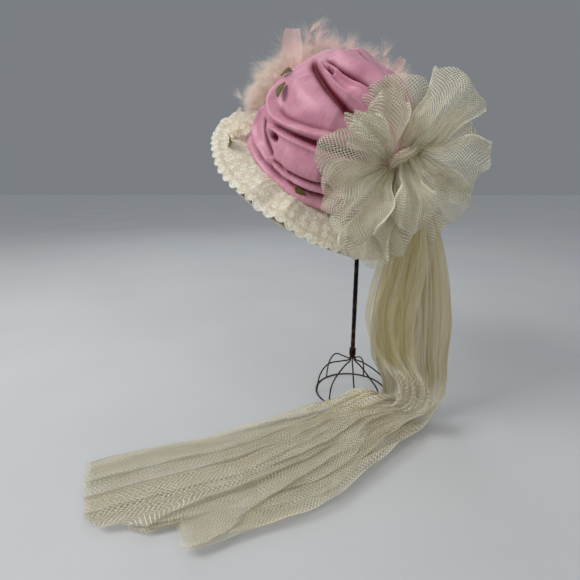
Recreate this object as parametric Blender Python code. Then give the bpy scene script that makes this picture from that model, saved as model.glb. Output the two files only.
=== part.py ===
"""Draped satin hat with a lace brim, feather trim, tulle bow and long tulle train, on a wire hat stand.

Metres, +Z up. The stand's stem is built on the Z axis of the model frame and the train lies on the floor
plane Z = 0. The hat leans on the stand in a frame of its own: right, front and up. At the end the whole
model is shifted sideways so that the centre of its footprint is the origin.
"""

from math import atan2, ceil, cos, degrees, exp, hypot, pi, radians, sin

import bpy
import numpy as np
from mathutils import Matrix, Vector
from mathutils.bvhtree import BVHTree

# Gap kept between pieces that touch on the real hat
TOUCH = 0.0004

# Hat frame: centre of the crown's base plane, and its leaning axes
HAT_BASE = Vector((-0.044, 0.014, 0.309))
HAT_UP = Vector((0.39, -0.48, 0.785)).normalized()
HAT_FRONT_HINT = Vector((-0.796, 0.253, 0.550))
HAT_RIGHT = HAT_FRONT_HINT.cross(HAT_UP).normalized()
HAT_FRONT = HAT_UP.cross(HAT_RIGHT)
HAT_TURN = Matrix((HAT_RIGHT, HAT_FRONT, HAT_UP)).transposed()

# Crown: an oval puff of draped satin over a stiff lining
CROWN_HALF_WIDTH = 0.085
CROWN_HALF_LENGTH = 0.093
CROWN_HEIGHT = 0.120
CROWN_PUFF = 0.050
CROWN_WALL = 0.0024
CROWN_SIDES = 56
CROWN_ROWS = 14
LINING_SIDES = 28
LINING_ROWS = 6
CROWN_HEART = Vector((0.0, 0.0, 0.034))
BASE_ROLL = 0.003

# Brim: stiff net that droops to the rim
BRIM_WIDTH = 0.046
BRIM_DROOP = 0.017
BRIM_WALL = 0.0016
BRIM_WAVE = 0.0025
BRIM_SIDES = 40
PIPING_RADIUS = 0.0013

# Lace ruffle, gathered on the upper side of the brim
RUFFLE_START = 0.0085
RUFFLE_REACH = 0.0420
RUFFLE_WALL = 0.0010
RUFFLE_FLUTES = 20
RUFFLE_FLUTE_HEIGHT = 0.0095
RUFFLE_SIDES = 80

# Bow: loops of tulle gathered in a knot at the back left of the crown
KNOT_ON_CROWN = Vector((-0.052, -0.066, 0.072))
KNOT_RADIUS = 0.0115
LOOP_WALL = 0.0011
LOOP_STEPS = 12
LOOP_ROOT_WIDTH = 0.0052

# Stand, of soft iron wire
STEM_RADIUS = 0.0034
STEM_STRANDS = 6
STEM_FOOT = 0.0530
BASE_RING_RADIUS = 0.0500
WIRE_RADIUS = 0.0010
TOP_RING_RADIUS = 0.0240
TOP_RING_DROP = 0.0115
BINDING_HEIGHT = 0.0120

# Train: gathered tulle that hangs from the knot and runs out over the floor
TRAIN_WALL = 0.0014
TRAIN_PLEATS = 6
TRAIN_COLUMNS = 25
TRAIN_SECTIONS = 18

# Satin folds fan out of the knot. turn is the angle of a valley about the knot's line through the crown, and
# swell the height of the roll between it and the next valley.
FOLD_COLUMNS = ("turn", "swell")
FOLD_VALLEY = 0.0008
FOLDS = (
    (-165, 0.0075),
    (-132, 0.0080),
    (-98, 0.0075),
    (-66, 0.0085),
    (-34, 0.0100),
    (-8, 0.0105),
    (15, 0.0130),
    (47, 0.0105),
    (70, 0.0090),
    (98, 0.0085),
    (130, 0.0080),
    (162, 0.0075),
)

# Bow loops. right, near and up point from the knot to the loop's tip, width is across the tip, gape is how far
# the two layers stand apart, and roll turns the band about its own length.
LOOP_COLUMNS = ("right", "near", "up", "width", "gape", "roll")
LOOPS = (
    (-0.010, 0.026, 0.084, 0.050, 0.020, 0),
    (0.060, 0.002, 0.078, 0.046, 0.024, 25),
    (0.090, -0.010, 0.030, 0.034, 0.020, 70),
    (0.096, 0.012, -0.008, 0.040, 0.024, 100),
    (0.078, 0.004, -0.050, 0.034, 0.020, 130),
    (0.046, 0.040, -0.062, 0.036, 0.022, 165),
    (0.003, 0.046, -0.084, 0.036, 0.021, 190),
    (-0.058, 0.044, -0.082, 0.039, 0.020, 215),
    (-0.066, 0.056, -0.022, 0.038, 0.020, 265),
    (-0.060, 0.056, 0.032, 0.036, 0.020, 300),
    (0.030, 0.078, 0.022, 0.036, 0.024, 45),
)

# Train sections, from the knot to the cut end; the first one is moved to the knot. x, y and z are the middle, half its half-width, heading
# the direction of its right-hand edge, pleat the height of its pleats.
TRAIN_COLUMN_NAMES = ("x", "y", "z", "half", "heading", "pleat", "bulge")
TRAIN_ROWS = (
    (0.000, 0.000, 0.000, 0.0090, 0, 0.0000, 0.000),
    (0.042, -0.087, 0.262, 0.0180, 0, 0.0005, 0.000),
    (0.049, -0.083, 0.210, 0.0310, 0, 0.0034, 0.000),
    (0.052, -0.078, 0.145, 0.0410, 0, 0.0072, 0.000),
    (0.056, -0.070, 0.090, 0.0420, 0, 0.0070, 0.000),
    (0.068, -0.062, 0.048, 0.0370, -2, 0.0055, 0.000),
    (0.064, -0.061, 0.018, 0.0360, -8, 0.0045, 0.000),
    (0.042, -0.076, 0.011, 0.0370, -28, 0.0050, 0.000),
    (0.008, -0.091, 0.009, 0.0440, -50, 0.0062, 0.000),
    (-0.043, -0.114, 0.0088, 0.0600, -64, 0.0075, 0.000),
    (-0.088, -0.144, 0.0084, 0.0670, -62, 0.0072, 0.002),
    (-0.136, -0.171, 0.0080, 0.0680, -56, 0.0068, 0.006),
    (-0.192, -0.191, 0.0074, 0.0720, -51, 0.0062, 0.014),
    (-0.239, -0.209, 0.0066, 0.0790, -38, 0.0054, 0.024),
)

# Legs of the base. heading is where a leg stands round the stem, and rise how high its shoulder arches.
LEG_COLUMNS = ("heading", "rise")
LEGS = ((186, 0.000), (225, -0.010), (128, 0.002), (266, -0.020), (312, -0.016), (354, -0.012), (60, -0.006))

# Feather trim: plumes stand along the crown's front and right. turn is the place round the crown from the front
# towards the right, low and high the height of its foot and tip, girth half its thickness, and flare how far
# its tip leans away from the crown.
PLUME_COLUMNS = ("turn", "low", "high", "girth", "flare")
PLUMES = (
    (-21, 0.020, 0.053, 0.0130, 0.002),
    (-3, 0.012, 0.072, 0.0170, 0.008),
    (20, 0.018, 0.100, 0.0205, 0.020),
    (45, 0.030, 0.112, 0.0205, 0.020),
    (71, 0.044, 0.114, 0.0175, 0.012),
    (97, 0.054, 0.112, 0.0145, 0.004),
)

# Blossoms and leaves of the garland, placed like the plumes. height is above the brim.
BLOSSOM_COLUMNS = ("turn", "out", "height", "radius")
BLOSSOMS = ((-30, 0.1140, 0.0300, 0.0088), (-19, 0.1245, 0.0300, 0.0062))
LEAF_COLUMNS = ("turn", "out", "height", "length", "lean", "on_lace")
LEAVES = (
    (-41, 0.1190, 0.0340, 0.0150, 20, True),
    (-44, 0.1300, 0.0740, 0.0130, 70, False),
    (-29, 0.1300, 0.0830, 0.0125, 50, False),
    (-97, 0.1240, 0.0100, 0.0120, 10, False),
)

# Colours, roughness and metallic value of each material
MATERIALS = {
    "pink_satin": ((0.70, 0.32, 0.42), 0.38, 0.0),
    "brim_net": ((0.78, 0.68, 0.42), 0.60, 0.0),
    "lace": ((0.86, 0.78, 0.64), 0.80, 0.0),
    "tulle": ((0.80, 0.76, 0.62), 0.85, 0.0),
    "feather": ((0.86, 0.60, 0.52), 0.90, 0.0),
    "blossom": ((0.88, 0.74, 0.60), 0.80, 0.0),
    "leaf": ((0.18, 0.20, 0.06), 0.60, 0.0),
    "iron_wire": ((0.06, 0.04, 0.03), 0.50, 0.8),
}


def clear_scene():
    """Remove whatever the startup scene holds."""
    for item in list(bpy.data.objects):
        bpy.data.objects.remove(item, do_unlink=True)


def smooth(value):
    """Ease from 0 to 1 with flat ends."""
    value = min(1.0, max(0.0, value))
    return value * value * (3 - 2 * value)


def material(name):
    """Principled material of one finish, made once."""
    found = bpy.data.materials.get(name)
    if found:
        return found
    colour, roughness, metallic = MATERIALS[name]
    made = bpy.data.materials.new(name)
    made.use_nodes = True
    shader = made.node_tree.nodes["Principled BSDF"]
    shader.inputs["Base Color"].default_value = (*colour, 1.0)
    shader.inputs["Roughness"].default_value = roughness
    shader.inputs["Metallic"].default_value = metallic
    return made


def signed_volume(points, faces):
    """Volume inside the faces, negative when they face inwards."""
    total = 0.0
    for face in faces:
        first = points[face[0]]
        for one, two in zip(face[1:], face[2:]):
            total += first.dot(points[one].cross(points[two]))
    return total / 6


def add_piece(name, points, faces, finish, root):
    """Make one named object from points and faces, shaded smooth, and parent it to the root."""
    if signed_volume(points, faces) < 0:
        faces = [tuple(reversed(face)) for face in faces]
    mesh = bpy.data.meshes.new(name)
    mesh.from_pydata([tuple(point) for point in points], [], faces)
    mesh.validate()
    mesh.update()
    mesh.materials.append(material(finish))
    mesh.shade_smooth()
    mesh.set_sharp_from_angle(angle=radians(40))
    piece = bpy.data.objects.new(name, mesh)
    bpy.context.scene.collection.objects.link(piece)
    piece.parent = root
    return piece


def hat_point(right, front, up):
    """Place a point that is given in the hat's own frame."""
    return HAT_BASE + HAT_RIGHT * right + HAT_FRONT * front + HAT_UP * up


def hat_local(point):
    """Give a placed point in the hat's own frame."""
    away = point - HAT_BASE
    return Vector((away.dot(HAT_RIGHT), away.dot(HAT_FRONT), away.dot(HAT_UP)))


def wall_faces(rows, columns, wrap, outer, inner):
    """Quads of a closed wall between two grids of points, with both long edges and any open sides joined."""
    faces = []
    last = columns if wrap else columns - 1
    for row in range(rows - 1):
        for column in range(last):
            after = (column + 1) % columns
            a, b = row * columns + column, row * columns + after
            c, d = b + columns, a + columns
            faces.append((outer + a, outer + b, outer + c, outer + d))
            faces.append((inner + d, inner + c, inner + b, inner + a))
    for row, order in ((0, 1), (rows - 1, -1)):
        for column in range(last):
            after = (column + 1) % columns
            a, b = row * columns + column, row * columns + after
            quad = (outer + b, outer + a, inner + a, inner + b)
            faces.append(quad[::order])
    if not wrap:
        for column, order in ((0, 1), (columns - 1, -1)):
            for row in range(rows - 1):
                a, d = row * columns + column, (row + 1) * columns + column
                quad = (outer + a, outer + d, inner + d, inner + a)
                faces.append(quad[::order])
    return faces


def add_wall(name, outer_rows, inner_rows, finish, root, wrap=True):
    """Make a closed wall from two equal grids of points."""
    columns = len(outer_rows[0])
    outer = [point for row in outer_rows for point in row]
    inner = [point for row in inner_rows for point in row]
    faces = wall_faces(len(outer_rows), columns, wrap, 0, len(outer))
    return add_piece(name, outer + inner, faces, finish, root)


def tube(name, path, radii, finish, root, sides=6, closed=False, lobes=None, twist=0.0):
    """Sweep a round section along a path. lobes(ring, side) may scale the radius, and twist turns each ring on."""
    count = len(path)
    rings = []
    for ring in range(count):
        before = path[(ring - 1) % count] if closed or ring else path[ring]
        after = path[(ring + 1) % count] if closed or ring < count - 1 else path[ring]
        along = (after - before).normalized()
        hint = Vector((0, 0, 1)) if abs(along.z) < 0.9 else Vector((1, 0, 0))
        if ring and not closed:
            hint = rings[-1][1]
        across = (hint - along * hint.dot(along)).normalized()
        rings.append((along, across))
    points = []
    for ring, (along, across) in enumerate(rings):
        up = along.cross(across)
        for side in range(sides):
            angle = 2 * pi * (side + 0.5) / sides + twist * ring
            radius = radii[ring] * (lobes(ring, side) if lobes else 1.0)
            points.append(path[ring] + (across * cos(angle) + up * sin(angle)) * radius)
    faces = []
    for ring in range(count if closed else count - 1):
        for side in range(sides):
            a = ring * sides + side
            b = ring * sides + (side + 1) % sides
            c = ((ring + 1) % count) * sides + (side + 1) % sides
            d = ((ring + 1) % count) * sides + side
            faces.append((a, b, c, d))
    if not closed:
        faces.append(tuple(reversed(range(sides))))
        faces.append(tuple(range((count - 1) * sides, count * sides)))
    return add_piece(name, points, faces, finish, root)


def catmull(rows, place):
    """Value of a table of rows at place, from 0 to the last row, on a smooth curve through them."""
    last = len(rows) - 1
    span = min(int(place), last - 1)
    t = place - span
    picks = [rows[min(max(span + step, 0), last)] for step in (-1, 0, 1, 2)]
    weights = (
        -0.5 * t**3 + t**2 - 0.5 * t,
        1.5 * t**3 - 2.5 * t**2 + 1,
        -1.5 * t**3 + 2 * t**2 + 0.5 * t,
        0.5 * t**3 - 0.5 * t**2,
    )
    return [sum(w * row[i] for w, row in zip(weights, picks)) for i in range(len(rows[0]))]


def crown_form(turn, rise, shrink=0.0):
    """Plain crown before its folds, in the hat's frame. turn runs round it and rise from 0 at the base to 1."""
    lift = rise * pi / 2
    swell = 1 + CROWN_PUFF * sin(min(1.0, rise * 1.7) * pi)
    radius = cos(lift) ** 0.72 * swell if rise < 1 else 0.0
    return Vector((
        (CROWN_HALF_WIDTH - shrink) * radius * sin(turn),
        (CROWN_HALF_LENGTH - shrink) * radius * cos(turn),
        (CROWN_HEIGHT - shrink) * sin(lift) ** 0.95,
    ))


def fold_relief(point):
    """Height of the satin's folds at a point of the crown, as a roll between each pair of valleys."""
    away = (point - CROWN_HEART).normalized()
    pole = (KNOT_ON_CROWN - CROWN_HEART).normalized()
    level = pole.cross(-HAT_TURN.row[1]).normalized()
    over = level.cross(pole)
    turn = degrees(atan2(away.dot(level), -away.dot(over)))
    spread = degrees(away.angle(pole))
    turns = [fold[0] for fold in FOLDS]
    index = max((i for i, angle in enumerate(turns) if angle <= turn), default=len(FOLDS) - 1)
    start = FOLDS[index]
    end = FOLDS[(index + 1) % len(FOLDS)]
    width = (end[0] - start[0]) % 360
    share = ((turn - start[0]) % 360) / width
    fan = smooth((spread - 8) / 30) * smooth((176 - spread) / 30)
    return fan * start[1] * sin(pi * share) ** 0.7 - FOLD_VALLEY


def crown_rows(sides, rows, shrink):
    """Rings of the crown from its base to just under its top. Only the outer wall carries the folds."""
    made = []
    for row in range(rows):
        rise = row / rows
        ring = []
        for side in range(sides):
            point = crown_form(2 * pi * side / sides, rise, shrink)
            if not shrink:
                outward = (point - CROWN_HEART).normalized()
                roll = BASE_ROLL * exp(-(((rise - 0.09) / 0.06) ** 2))
                point = point + outward * (fold_relief(point) * smooth(rise / 0.2) + roll)
            ring.append(hat_point(*point))
        made.append(ring)
    return made


def dome_faces(first, sides, rows, top):
    """Quads of a dome of rings, closed at its top point."""
    faces = []
    for row in range(rows - 1):
        for side in range(sides):
            a = first + row * sides + side
            b = first + row * sides + (side + 1) % sides
            faces.append((a, b, b + sides, a + sides))
    last = first + (rows - 1) * sides
    return faces + [(last + side, last + (side + 1) % sides, top) for side in range(sides)]


def build_crown(root):
    """Hollow satin crown, open below: the folds are in relief outside, and the lining inside is plain."""
    outer = [point for ring in crown_rows(CROWN_SIDES, CROWN_ROWS, 0.0) for point in ring]
    lining = [point for ring in crown_rows(LINING_SIDES, LINING_ROWS, CROWN_WALL) for point in ring]
    points = outer + lining + [hat_point(0, 0, CROWN_HEIGHT + 0.004), hat_point(0, 0, CROWN_HEIGHT - CROWN_WALL)]
    half = len(outer)
    faces = dome_faces(0, CROWN_SIDES, CROWN_ROWS, len(points) - 2)
    faces += [face[::-1] for face in dome_faces(half, LINING_SIDES, LINING_ROWS, len(points) - 1)]
    for side in range(LINING_SIDES):
        one, two, three = 2 * side, 2 * side + 1, (2 * side + 2) % CROWN_SIDES
        near, far = half + side, half + (side + 1) % LINING_SIDES
        faces += [(one, near, two), (two, near, far), (two, far, three)]
    return add_piece("crown", points, faces, "pink_satin", root)


def brim_level(turn, out):
    """Height of the brim's upper face, out from the crown's edge by a share of its width."""
    return -TOUCH - BRIM_DROOP * max(0.0, out) ** 1.35 + BRIM_WAVE * max(0.0, out) ** 2 * sin(3 * turn + 0.6)


def brim_point(turn, reach, up):
    """Point beyond the crown's oval edge by reach, at a height in the hat's frame."""
    return hat_point((CROWN_HALF_WIDTH + reach) * sin(turn), (CROWN_HALF_LENGTH + reach) * cos(turn), up)


def build_brim(root):
    """Drooping brim with the head opening through it, and the piping round its rim."""
    outs = (-CROWN_WALL / BRIM_WIDTH, 0.0, 0.5, 1.0)
    turns = [2 * pi * side / BRIM_SIDES for side in range(BRIM_SIDES)]
    upper = [[brim_point(t, BRIM_WIDTH * o, brim_level(t, o)) for t in turns] for o in outs]
    lower = [[brim_point(t, BRIM_WIDTH * o, brim_level(t, o) - BRIM_WALL) for t in turns] for o in outs]
    add_wall("brim", lower, upper, "brim_net", root)
    reach = BRIM_WIDTH + PIPING_RADIUS + TOUCH
    path = [brim_point(t, reach, brim_level(t, 1.0) - BRIM_WALL / 2) for t in turns]
    tube("rim_piping", path[::-1], [PIPING_RADIUS] * BRIM_SIDES, "brim_net", root, closed=True)


def ruffle_level(turn, out):
    """Height of the ruffle's under side above the brim: flutes that open towards its edge."""
    flute = 0.5 + 0.5 * sin(RUFFLE_FLUTES * turn + 1.2 * sin(3 * turn))
    return TOUCH + RUFFLE_FLUTE_HEIGHT * flute * smooth(out * 1.1) * (0.75 + 0.25 * sin(5 * turn))


def build_ruffle(root):
    """Gathered lace ruffle that lies on the brim and reaches just past its rim."""
    outs = (0.0, 0.55, 1.0)
    turns = [2 * pi * side / RUFFLE_SIDES for side in range(RUFFLE_SIDES)]
    upper, lower = [], []
    for out in outs:
        reach = RUFFLE_START + (RUFFLE_REACH - RUFFLE_START) * out
        past = smooth((reach - BRIM_WIDTH + 0.006) / 0.006) * (2 * PIPING_RADIUS)
        upper_ring, lower_ring = [], []
        for t in turns:
            scallop = 0.0018 * out * sin(2 * RUFFLE_FLUTES * t)
            low = brim_level(t, reach / BRIM_WIDTH) + ruffle_level(t, out) + past
            lower_ring.append(brim_point(t, reach + scallop, low + 0.0002))
            upper_ring.append(brim_point(t, reach + scallop, low + 0.0002 + RUFFLE_WALL))
        upper.append(upper_ring)
        lower.append(lower_ring)
    return add_wall("lace_ruffle", lower, upper, "lace", root)


def tree_of(*pieces):
    """Search tree over the faces of placed pieces."""
    points, faces = [], []
    for piece in pieces:
        start = len(points)
        piece.data.calc_loop_triangles()
        points += [vertex.co.copy() for vertex in piece.data.vertices]
        faces += [[start + index for index in triangle.vertices] for triangle in piece.data.loop_triangles]
    return BVHTree.FromPolygons(points, faces)


def push_clear(tree, place, outward, clearance):
    """Move a place outward until its nearest surface is at the clearance."""
    low, high = 0.0, 0.15
    for _ in range(24):
        middle = (low + high) / 2
        away = tree.find_nearest(place + outward * middle)[3]
        low, high = (middle, high) if away < clearance else (low, middle)
    return place + outward * high


def settle(piece, direction, *carriers):
    """Slide a piece along a direction until it lies a touch away from what carries it."""
    carried = tree_of(*carriers)
    corners = [vertex.co.copy() for vertex in piece.data.vertices]
    piece.data.calc_loop_triangles()
    faces = [list(triangle.vertices) for triangle in piece.data.loop_triangles]

    def meets(slide):
        return bool(BVHTree.FromPolygons([c + direction * slide for c in corners], faces).overlap(carried))

    step, slide = 0.0005, 0.0
    while meets(slide):
        slide -= step
    while not meets(slide + step) and slide < 0.06:
        slide += step
    for _ in range(6):
        step /= 2
        slide += 0 if meets(slide + step) else step
    for vertex in piece.data.vertices:
        vertex.co += direction * (slide - TOUCH)


def knot_place(crown):
    """Middle of the bow's knot, seated on the crown along its outward direction."""
    outward = HAT_TURN @ (KNOT_ON_CROWN - CROWN_HEART).normalized()
    return push_clear(tree_of(crown), hat_point(*(KNOT_ON_CROWN - CROWN_HEART * 0.1)), outward, KNOT_RADIUS + TOUCH)


def build_knot(root, centre):
    """Gathered knot of the bow, a plain ball that the loops leave from."""
    rings, sides = 7, 12
    points = [centre + Vector((0, 0, KNOT_RADIUS))]
    for ring in range(1, rings):
        polar = pi * ring / rings
        for side in range(sides):
            angle = 2 * pi * side / sides
            points.append(centre + Vector((
                KNOT_RADIUS * sin(polar) * cos(angle),
                KNOT_RADIUS * sin(polar) * sin(angle),
                KNOT_RADIUS * cos(polar),
            )))
    points.append(centre - Vector((0, 0, KNOT_RADIUS)))
    faces = []
    for side in range(sides):
        after = (side + 1) % sides
        faces.append((0, 1 + side, 1 + after))
        for ring in range(rings - 2):
            a, b = 1 + ring * sides + side, 1 + ring * sides + after
            faces.append((a, a + sides, b + sides, b))
        last = 1 + (rings - 2) * sides
        faces.append((last + side, len(points) - 1, last + after))
    add_piece("bow_knot", points, faces, "tulle", root)


def loop_axes(loop):
    """Length, and the loop's forward, sideways and opening directions."""
    forward = Vector((loop[0], -loop[1], loop[2]))
    length = forward.length
    forward.normalize()
    side = Matrix.Rotation(radians(loop[5]), 3, forward) @ forward.cross(Vector((0, -1, 0))).normalized()
    return length, forward, side, forward.cross(side)


def build_loop(root, centre, number, loop):
    """One loop of the bow: a band that leaves the knot, turns over at its tip and comes back."""
    length, forward, side, gape_way = loop_axes(loop)
    start = KNOT_RADIUS + TOUCH
    shares = (-1.0, -0.35, 0.35, 1.0)
    outer_rows, inner_rows = [], []
    for share in shares:
        outer_ring, inner_ring = [], []
        for step in range(LOOP_STEPS):
            angle = 2 * pi * step / LOOP_STEPS
            along = 0.5 * (1 + cos(angle))
            half = LOOP_ROOT_WIDTH / 2 + (loop[3] - LOOP_ROOT_WIDTH) / 2 * along**0.75
            gape = 0.5 * loop[4] * sin(angle) * (0.16 + 0.84 * along**0.6)
            ripple = 1 - 0.05 * share * share * along
            place = centre + forward * (start + (length - start) * along * ripple) + side * (half * share)
            heart = centre + forward * (start + (length - start) * 0.55) + side * (half * share)
            point = place + gape_way * gape
            inward = heart - point
            inward = (inward - side * inward.dot(side)).normalized()
            outer_ring.append(point)
            inner_ring.append(point + inward * LOOP_WALL)
        outer_rows.append(outer_ring)
        inner_rows.append(inner_ring)
    add_wall(f"bow_loop_{number:02d}", outer_rows, inner_rows, "tulle", root)


def build_bow(root, centre):
    """Knot and all its loops."""
    build_knot(root, centre)
    for number, loop in enumerate(LOOPS, 1):
        build_loop(root, centre, number, loop)


def build_train(root, knot):
    """Pleated tulle train: it hangs from the bow, turns on the floor and fans out to its cut end."""
    rows = ((knot.x, knot.y, knot.z - KNOT_RADIUS - TOUCH, *TRAIN_ROWS[0][3:]), *TRAIN_ROWS[1:])
    centres, sides, halves, pleats, bulges = [], [], [], [], []
    for section in range(TRAIN_SECTIONS):
        x, y, z, half, heading, pleat, bulge = catmull(rows, (len(rows) - 1) * section / (TRAIN_SECTIONS - 1))
        centres.append(Vector((x, y, z)))
        sides.append(Vector((cos(radians(heading)), sin(radians(heading)), 0)))
        halves.append(half)
        pleats.append(pleat)
        bulges.append(bulge)
    outer_rows, inner_rows = [], []
    for index, centre in enumerate(centres):
        before, after = centres[max(index - 1, 0)], centres[min(index + 1, TRAIN_SECTIONS - 1)]
        along = (after - before).normalized()
        facing = sides[index].cross(along).normalized()
        outer_row, inner_row = [], []
        for column in range(TRAIN_COLUMNS):
            share = 2 * column / (TRAIN_COLUMNS - 1) - 1
            wave = sin(TRAIN_PLEATS * pi * share + 0.5 * sin(2.5 * pi * share))
            slope = TRAIN_PLEATS * pi * cos(TRAIN_PLEATS * pi * share) * pleats[index] / halves[index]
            ahead = along * bulges[index] * (1 - share * share) * (1 - 0.6 * share)
            point = centre + sides[index] * halves[index] * share + facing * pleats[index] * wave + ahead
            wall = TRAIN_WALL * min(2.2, hypot(1.0, slope))
            outer_row.append(point + facing * wall / 2)
            inner_row.append(point - facing * wall / 2)
        outer_rows.append(outer_row)
        inner_rows.append(inner_row)
    lowest = 0.0003
    for row in outer_rows + inner_rows:
        for point in row:
            point.z = max(point.z, lowest)
    lift_thin(outer_rows, inner_rows)
    add_wall("train", outer_rows, inner_rows, "tulle", root, wrap=False)


def lift_thin(outer_rows, inner_rows):
    """Keep the train's wall whole where the floor has flattened a pleat."""
    for outer_row, inner_row in zip(outer_rows, inner_rows):
        for outer, inner in zip(outer_row, inner_row):
            higher, lower = (outer, inner) if outer.z >= inner.z else (inner, outer)
            if lower.z < 0.001 and (outer - inner).length < 0.9 * TRAIN_WALL:
                higher.z = lower.z + TRAIN_WALL


def ring_path(radius, height, count):
    """Points of a level circle about the stand's axis."""
    return [
        Vector((radius * cos(2 * pi * i / count), radius * sin(2 * pi * i / count), height))
        for i in range(count)
    ]


def build_base(root):
    """Foot ring and the bent wire legs that carry the stem."""
    ring_height = WIRE_RADIUS * cos(pi / 6)
    tube("base_ring", ring_path(BASE_RING_RADIUS, ring_height, 32), [WIRE_RADIUS] * 32, "iron_wire", root, closed=True)
    for number, (heading, rise) in enumerate(LEGS, 1):
        out = Vector((cos(radians(heading)), sin(radians(heading)), 0))
        foot = BASE_RING_RADIUS
        rows = (
            (0.0031, STEM_FOOT - TOUCH - WIRE_RADIUS * 0.2),
            (0.0050, STEM_FOOT - 0.0035),
            (0.0160, STEM_FOOT - 0.0050 + rise * 0.25),
            (0.0340, STEM_FOOT - 0.0090 + rise * 0.9),
            (0.0455, 0.0270 + rise * 0.5),
            (foot, 2 * WIRE_RADIUS + TOUCH),
        )
        path = [out * catmull(rows, 5 * i / 8)[0] + Vector((0, 0, catmull(rows, 5 * i / 8)[1])) for i in range(9)]
        tube(f"base_leg_{number}", path, [WIRE_RADIUS] * 9, "iron_wire", root, sides=5)


def seat_height(crown):
    """Height at which the stand's top would touch the inside of the crown."""
    tree = BVHTree.FromObject(crown, bpy.context.evaluated_depsgraph_get())
    heights = []
    for x, y, drop in top_samples():
        start = Vector((x, y, HAT_BASE.z + 0.02))
        hit = tree.ray_cast(start, Vector((0, 0, 1)))[0]
        heights.append(hit.z + drop)
    return min(heights)


def top_samples():
    """Places on the stand's top frame, each with its drop below the highest point."""
    samples = []
    for turn in range(0, 360, 15):
        for share in (0.0, 0.35, 0.7, 1.0):
            radius = TOP_RING_RADIUS * share + WIRE_RADIUS
            drop = TOP_RING_DROP * share**2
            samples.append((radius * cos(radians(turn)), radius * sin(radians(turn)), drop))
    return samples


def build_top(root, top):
    """Small wire frame on the stem that the crown rests on: a button, four arms and a ring."""
    tube("top_button", [Vector((0, 0, top - 0.0040)), Vector((0, 0, top - 0.0012)), Vector((0, 0, top))],
         [0.0048, 0.0048, 0.0026], "iron_wire", root, sides=10)
    ring_height = top - TOP_RING_DROP - WIRE_RADIUS
    tube("top_ring", ring_path(TOP_RING_RADIUS, ring_height, 20), [WIRE_RADIUS] * 20, "iron_wire", root, closed=True)
    for number in range(4):
        angle = radians(45 + 90 * number)
        out = Vector((cos(angle), sin(angle), 0))
        path = []
        for step in range(5):
            share = step / 4
            radius = 0.0048 + TOUCH + (TOP_RING_RADIUS - WIRE_RADIUS - 3 * TOUCH - 0.0048) * share
            path.append(out * radius + Vector((0, 0, top - 0.0026 - (TOP_RING_DROP - 0.0016) * share**1.6)))
        tube(f"top_arm_{number + 1}", path, [WIRE_RADIUS * 0.9] * 5, "iron_wire", root)


def build_stem(root, top):
    """Twisted bundle of wires, and the wire binding at its foot."""
    count = ceil((top - STEM_FOOT) / 0.024)
    path = [Vector((0, 0, STEM_FOOT + (top - 0.0040 - TOUCH - STEM_FOOT) * i / count)) for i in range(count + 1)]
    sides = 2 * STEM_STRANDS

    def strand(ring, side):
        return 1.0 if side % 2 else 0.86

    taper = [STEM_RADIUS * (0.88 + 0.12 * i / count) for i in range(count + 1)]
    tube("stem", path, taper, "iron_wire", root, sides=sides, lobes=strand, twist=radians(25))
    inner, outer = STEM_RADIUS * 0.93 + TOUCH, STEM_RADIUS * 0.93 + TOUCH + 0.0011
    turns = [2 * pi * i / 12 for i in range(12)]
    low, high = STEM_FOOT + 0.003, STEM_FOOT + 0.003 + BINDING_HEIGHT
    outer_rows = [[Vector((outer * cos(t), outer * sin(t), z)) for t in turns] for z in (low, high)]
    inner_rows = [[Vector((inner * cos(t), inner * sin(t), z)) for t in turns] for z in (low, high)]
    add_wall("stem_binding", outer_rows, inner_rows, "iron_wire", root)


def build_plumes(root, crown):
    """Feather plumes: tapering bodies on the crown's side, whose locks stand out in relief."""
    tree = tree_of(crown)
    rings, sides = 8, 12
    for number, (turn, low, high, girth, flare) in enumerate(PLUMES, 1):
        path, radii = [], []
        for ring in range(rings):
            share = ring / (rings - 1)
            angle = radians(turn + 6 * share)
            radius = girth * max(0.20, sin(pi * (0.12 + 0.80 * share))) ** 0.6
            outward = (HAT_RIGHT * sin(angle) + HAT_FRONT * cos(angle) + HAT_UP * 0.25).normalized()
            place = hat_point(0.07 * sin(angle), 0.07 * cos(angle), low + (high - low) * share)
            path.append(push_clear(tree, place, outward, radius + 1.5 * TOUCH + flare * share**2))
            radii.append(radius)
        plume = tube(f"feather_{number}", path, radii, "feather", root, sides=sides,
                     lobes=lambda ring, side: 1.0 if (side + ring) % 2 else 0.78)
        toward = HAT_RIGHT * -sin(radians(turn)) - HAT_FRONT * cos(radians(turn))
        settle(plume, toward, crown)


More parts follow.
